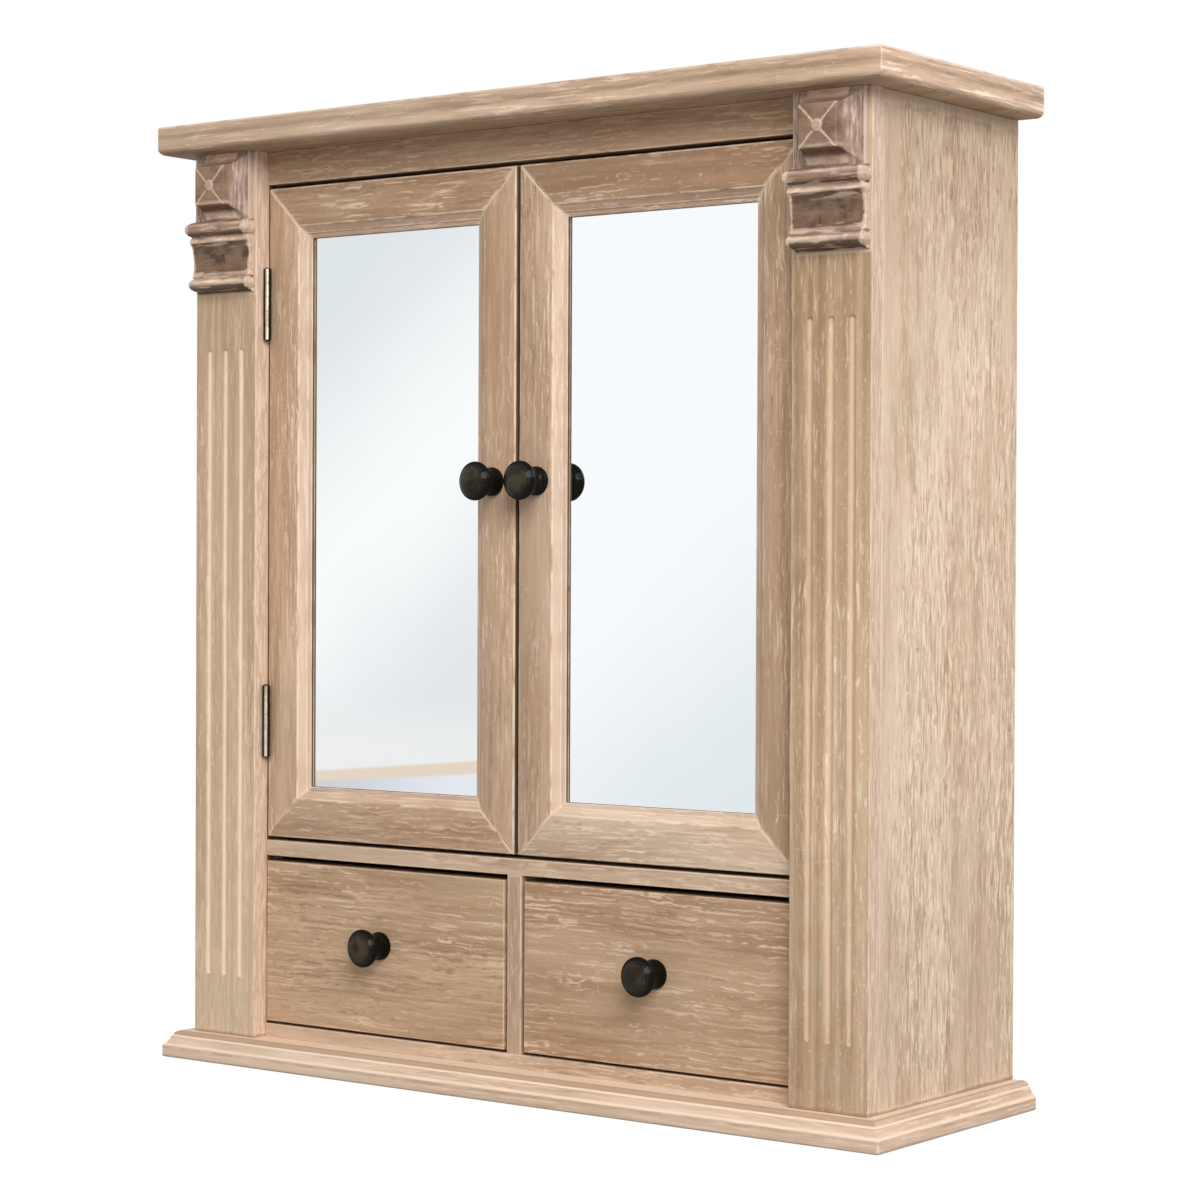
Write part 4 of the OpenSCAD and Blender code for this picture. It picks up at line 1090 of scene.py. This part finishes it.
# %% Dark bronze and aged brass
def bronze_skin(name, seed):
    """Nearly black bronze: the mark `dome` shows where the skin has worn to olive, and its fall
    towards the rim is painted shade.
    """
    material, recipe = new_finish(name)
    place, _ = grain_place(recipe, "z", seed)
    cloud = recipe.noise(place, 110, 110, detail=3)
    speck = recipe.noise(place, 700, 700, detail=1)
    worn = recipe.mix(cloud.fade(0.38, 0.62), seen(40, 35, 26), seen(66, 58, 44))
    colour = recipe.mix(recipe.mark("dome").fade(0.05, 0.8), seen(9, 8, 5), worn)
    recipe.finish({
        "Base Color": recipe.paint(speck.fade(0.60, 0.78) * 0.3, colour, (78, 69, 54)),
        "Metallic": 0.0,
        "Roughness": 0.34 + cloud * 0.14,
        "Specular IOR Level": 0.04,
        "Coat Weight": 0.13,
        "Coat Roughness": 0.05,
        "Normal": recipe.bump(cloud + speck * 0.3, strength=0.15, distance=0.0003),
    })
    return material


def hinge_brass(name, seed):
    """Aged brass: nearly black, with a painted highlight down the barrel where it faces the door
    and the front.
    """
    material, recipe = new_finish(name)
    place, split = grain_place(recipe, "z", seed)
    aside, inwards, _ = recipe.split(recipe.ask("NewGeometry", "Normal"))
    to_door = aside * (split[0].fade(0.05, -0.05) * 1.2 - 0.6) + inwards * -0.8
    cloud = recipe.noise(place, 60, 240, detail=3)
    stain = recipe.noise(place, 500, 700)
    painted_highlight = recipe.mix(cloud.fade(0.36, 0.64), seen(160, 144, 118), seen(208, 196, 178))
    painted_highlight = recipe.paint(stain.fade(0.56, 0.72) * 0.5, painted_highlight, (120, 98, 70))
    # A painted highlight down the barrel, where it faces the door and the front.
    edge = to_door + (stain - 0.5) * 0.10
    recipe.finish({
        "Base Color": recipe.mix(edge.fade(0.88, 0.965), seen(62, 46, 32), painted_highlight),
        "Metallic": 1.0,
        "Roughness": 0.24 + stain * 0.2,
    })
    return material


# %% Turned knob
KNOB = [  # millimetres: radius, and distance out from the board
    (0, 0), (8.8, 0), (9.2, 0.3), (9.3, 1.0), (9.3, 1.8), (9.1, 2.7), (8.5, 4.0), (7.9, 5.4),
    (7.65, 6.8), (7.6, 8.2), (7.7, 9.8), (8.2, 11.6), (9.1, 13.2), (10.0, 14.3), (10.8, 15.0),
    (11.1, 15.3), (11.2, 15.6), (11.6, 15.9), (12.1, 16.5), (12.4, 17.2), (12.5, 17.9),
    (12.4, 18.7), (12.0, 19.2), (11.6, 19.4), (11.3, 19.3), (11.1, 19.4), (10.3, 20.5),
    (8.6, 22.0), (6.5, 23.2), (4.2, 23.9), (2.0, 24.3), (0, 24.4),
]
BOLT_END = [(0, -18.4), (3.4, -18.4), (4, -16), (2, -16), (2, -0.5), (0, -0.5)]
KNOB_REACH = 0.0244
DOME_FROM = 0.0195
DOME_RADIUS = 0.0113


def spun(shape, profile, centre, steps):
    """Spins (radius, distance out) points, in millimetres, about an axis that faces -Y."""
    points = [
        shape.verts.new(centre + Vector((radius, -out, 0)) / 1000) for radius, out in profile
    ]
    rim = [shape.edges.new(pair) for pair in zip(points, points[1:])]
    bmesh.ops.spin(
        shape, geom=points + rim, cent=centre, axis=(0, 1, 0), angle=2 * math.pi,
        steps=steps, use_merge=True,
    )


def turned_knob(node, finish, bolt):
    """Replaces a packed knob with a turned one, and its bolt where it has one."""
    low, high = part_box(node)
    centre = Vector(((low.x + high.x) / 2, low.y + KNOB_REACH, (low.z + high.z) / 2))
    shape = bmesh.new()
    spun(shape, KNOB, centre, steps=48)
    if bolt:
        spun(shape, BOLT_END, centre, steps=20)
    bmesh.ops.remove_doubles(shape, verts=shape.verts, dist=SAME_POINT)
    bmesh.ops.recalc_face_normals(shape, faces=shape.faces)
    shade(shape, sharp=38)
    # The olive is strongest in the middle of the dome; its fall towards the rim is painted shade.
    mark = shape.faces.layers.float.new("dome")
    for face in shape.faces:
        from_centre = face.calc_center_median() - centre
        radius = math.hypot(from_centre.x, from_centre.z) / DOME_RADIUS
        face[mark] = max(0.0, 1 - radius ** 2) if -from_centre.y > DOME_FROM else 0.0
    print(node, "turned in", len(shape.faces), "faces")
    add_piece(shape, node + "_turned", node, finish)


knob_bronze = bronze_skin("bronze_knobs", 5)
for side in ("left", "right"):
    turned_knob(f"{side}_door_knob", knob_bronze, bolt=False)
    turned_knob(f"{side}_drawer_knob", knob_bronze, bolt=True)

# %% [markdown]
# ## Hidden woods, board and metal
#
# Inside, the cabinet is plain: sanded pale wood for the drawers, the shelf and the runners,
# pressed fibre board for the back, bright steel for screws and nails, and one white plastic
# catch. Each still gets its own grain, fibre or brush marks.

# %% Plain wood, fibre board, steel and plastic
def plain_wood(name, along, seed):
    material, recipe = new_finish(name)
    place, _ = grain_place(recipe, along, seed)
    place = bend_grain(recipe, place, sway=0.008, ripple=0.0008)
    lines = recipe.noise(place, 4, 170, detail=3, roughness=0.6)
    pores = recipe.noise(place, 60, 1100, detail=1).fade(0.6, 0.72)
    colour = recipe.mix(lines.fade(0.3, 0.75), seen(224, 203, 170), seen(203, 176, 138))
    recipe.finish({
        "Base Color": recipe.paint(pores * 0.4, colour, (168, 136, 98)),
        "Roughness": 0.6 + pores * 0.1,
        "Normal": recipe.bump(lines - pores, strength=0.25, distance=0.0003),
    })
    return material


def fibre_board(name):
    material, recipe = new_finish(name)
    place, _ = grain_place(recipe, "z", 8)
    fibres = recipe.noise(place, 420, 420, detail=4, roughness=0.7)
    cloud = recipe.noise(place, 14, 14)
    colour = recipe.mix(fibres.fade(0.3, 0.75), seen(150, 118, 84), seen(184, 152, 114))
    recipe.finish({
        "Base Color": recipe.paint(cloud.fade(0.4, 0.8) * 0.3, colour, (134, 102, 72)),
        "Roughness": 0.55 + fibres * 0.2,
        "Normal": recipe.bump(fibres, strength=0.3, distance=0.0003),
    })
    return material


def bright_steel(name):
    material, recipe = new_finish(name)
    place, _ = grain_place(recipe, "z", 9)
    marks = recipe.noise(place, 700, 700)
    recipe.finish({
        "Base Color": recipe.mix(marks, seen(150, 150, 148), seen(196, 195, 190)),
        "Metallic": 1.0,
        "Roughness": 0.25 + marks * 0.2,
    })
    return material


def moulded_plastic(name):
    material, recipe = new_finish(name)
    place, _ = grain_place(recipe, "z", 10)
    texture = recipe.noise(place, 1500, 1500)
    recipe.finish({
        "Base Color": recipe.mix(texture, seen(232, 231, 226), seen(240, 239, 235)),
        "Roughness": 0.32 + texture * 0.1,
        "Normal": recipe.bump(texture, strength=0.15, distance=0.0002),
    })
    return material


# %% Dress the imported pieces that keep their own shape
def dress(finish, *names):
    for name in names:
        mesh = cad[name].data
        mesh.materials.clear()
        mesh.materials.append(finish)


steel = bright_steel("bright_steel")
brass = hinge_brass("aged_brass", 7)
dress(fibre_board("pressed_board"), "back_panel")
dress(moulded_plastic("white_plastic"), "magnetic_catch")
dress(plain_wood("plain_wood_across", "x", 71), "hanging_rail", "shelf", "crown_dowels")
dress(plain_wood("plain_wood_deep", "y", 72), "drawer_runners")
dress(steel, "shelf_pins", "base_screws", "back_nails", "frame_screws")
dress(brass, "hinge_frame_leaves", "hinge_pins")
for side in ("left", "right"):
    dress(brass, f"{side}_hinge_door_leaves")
    dress(steel, f"{side}_door_screws", f"{side}_strike_plate", f"{side}_mirror_points")
    dress(fibre_board(f"{side}_backing_board"), f"{side}_mirror_backing")
    dress(plain_wood(f"{side}_drawer_wood", "y", 73), f"{side}_drawer_outer_side",
          f"{side}_drawer_inner_side")
    dress(plain_wood(f"{side}_drawer_cross_wood", "x", 74), f"{side}_drawer_back",
          f"{side}_drawer_bottom")
print(len(bpy.data.materials), "materials")

# %% [markdown]
# ## Close the scene
#
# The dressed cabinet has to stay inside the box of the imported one.

# %% Compare the sizes and finish
low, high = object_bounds()
print("largest step outside", round(max(max(cad_low - low), max(high - cad_high)), 5), "m")
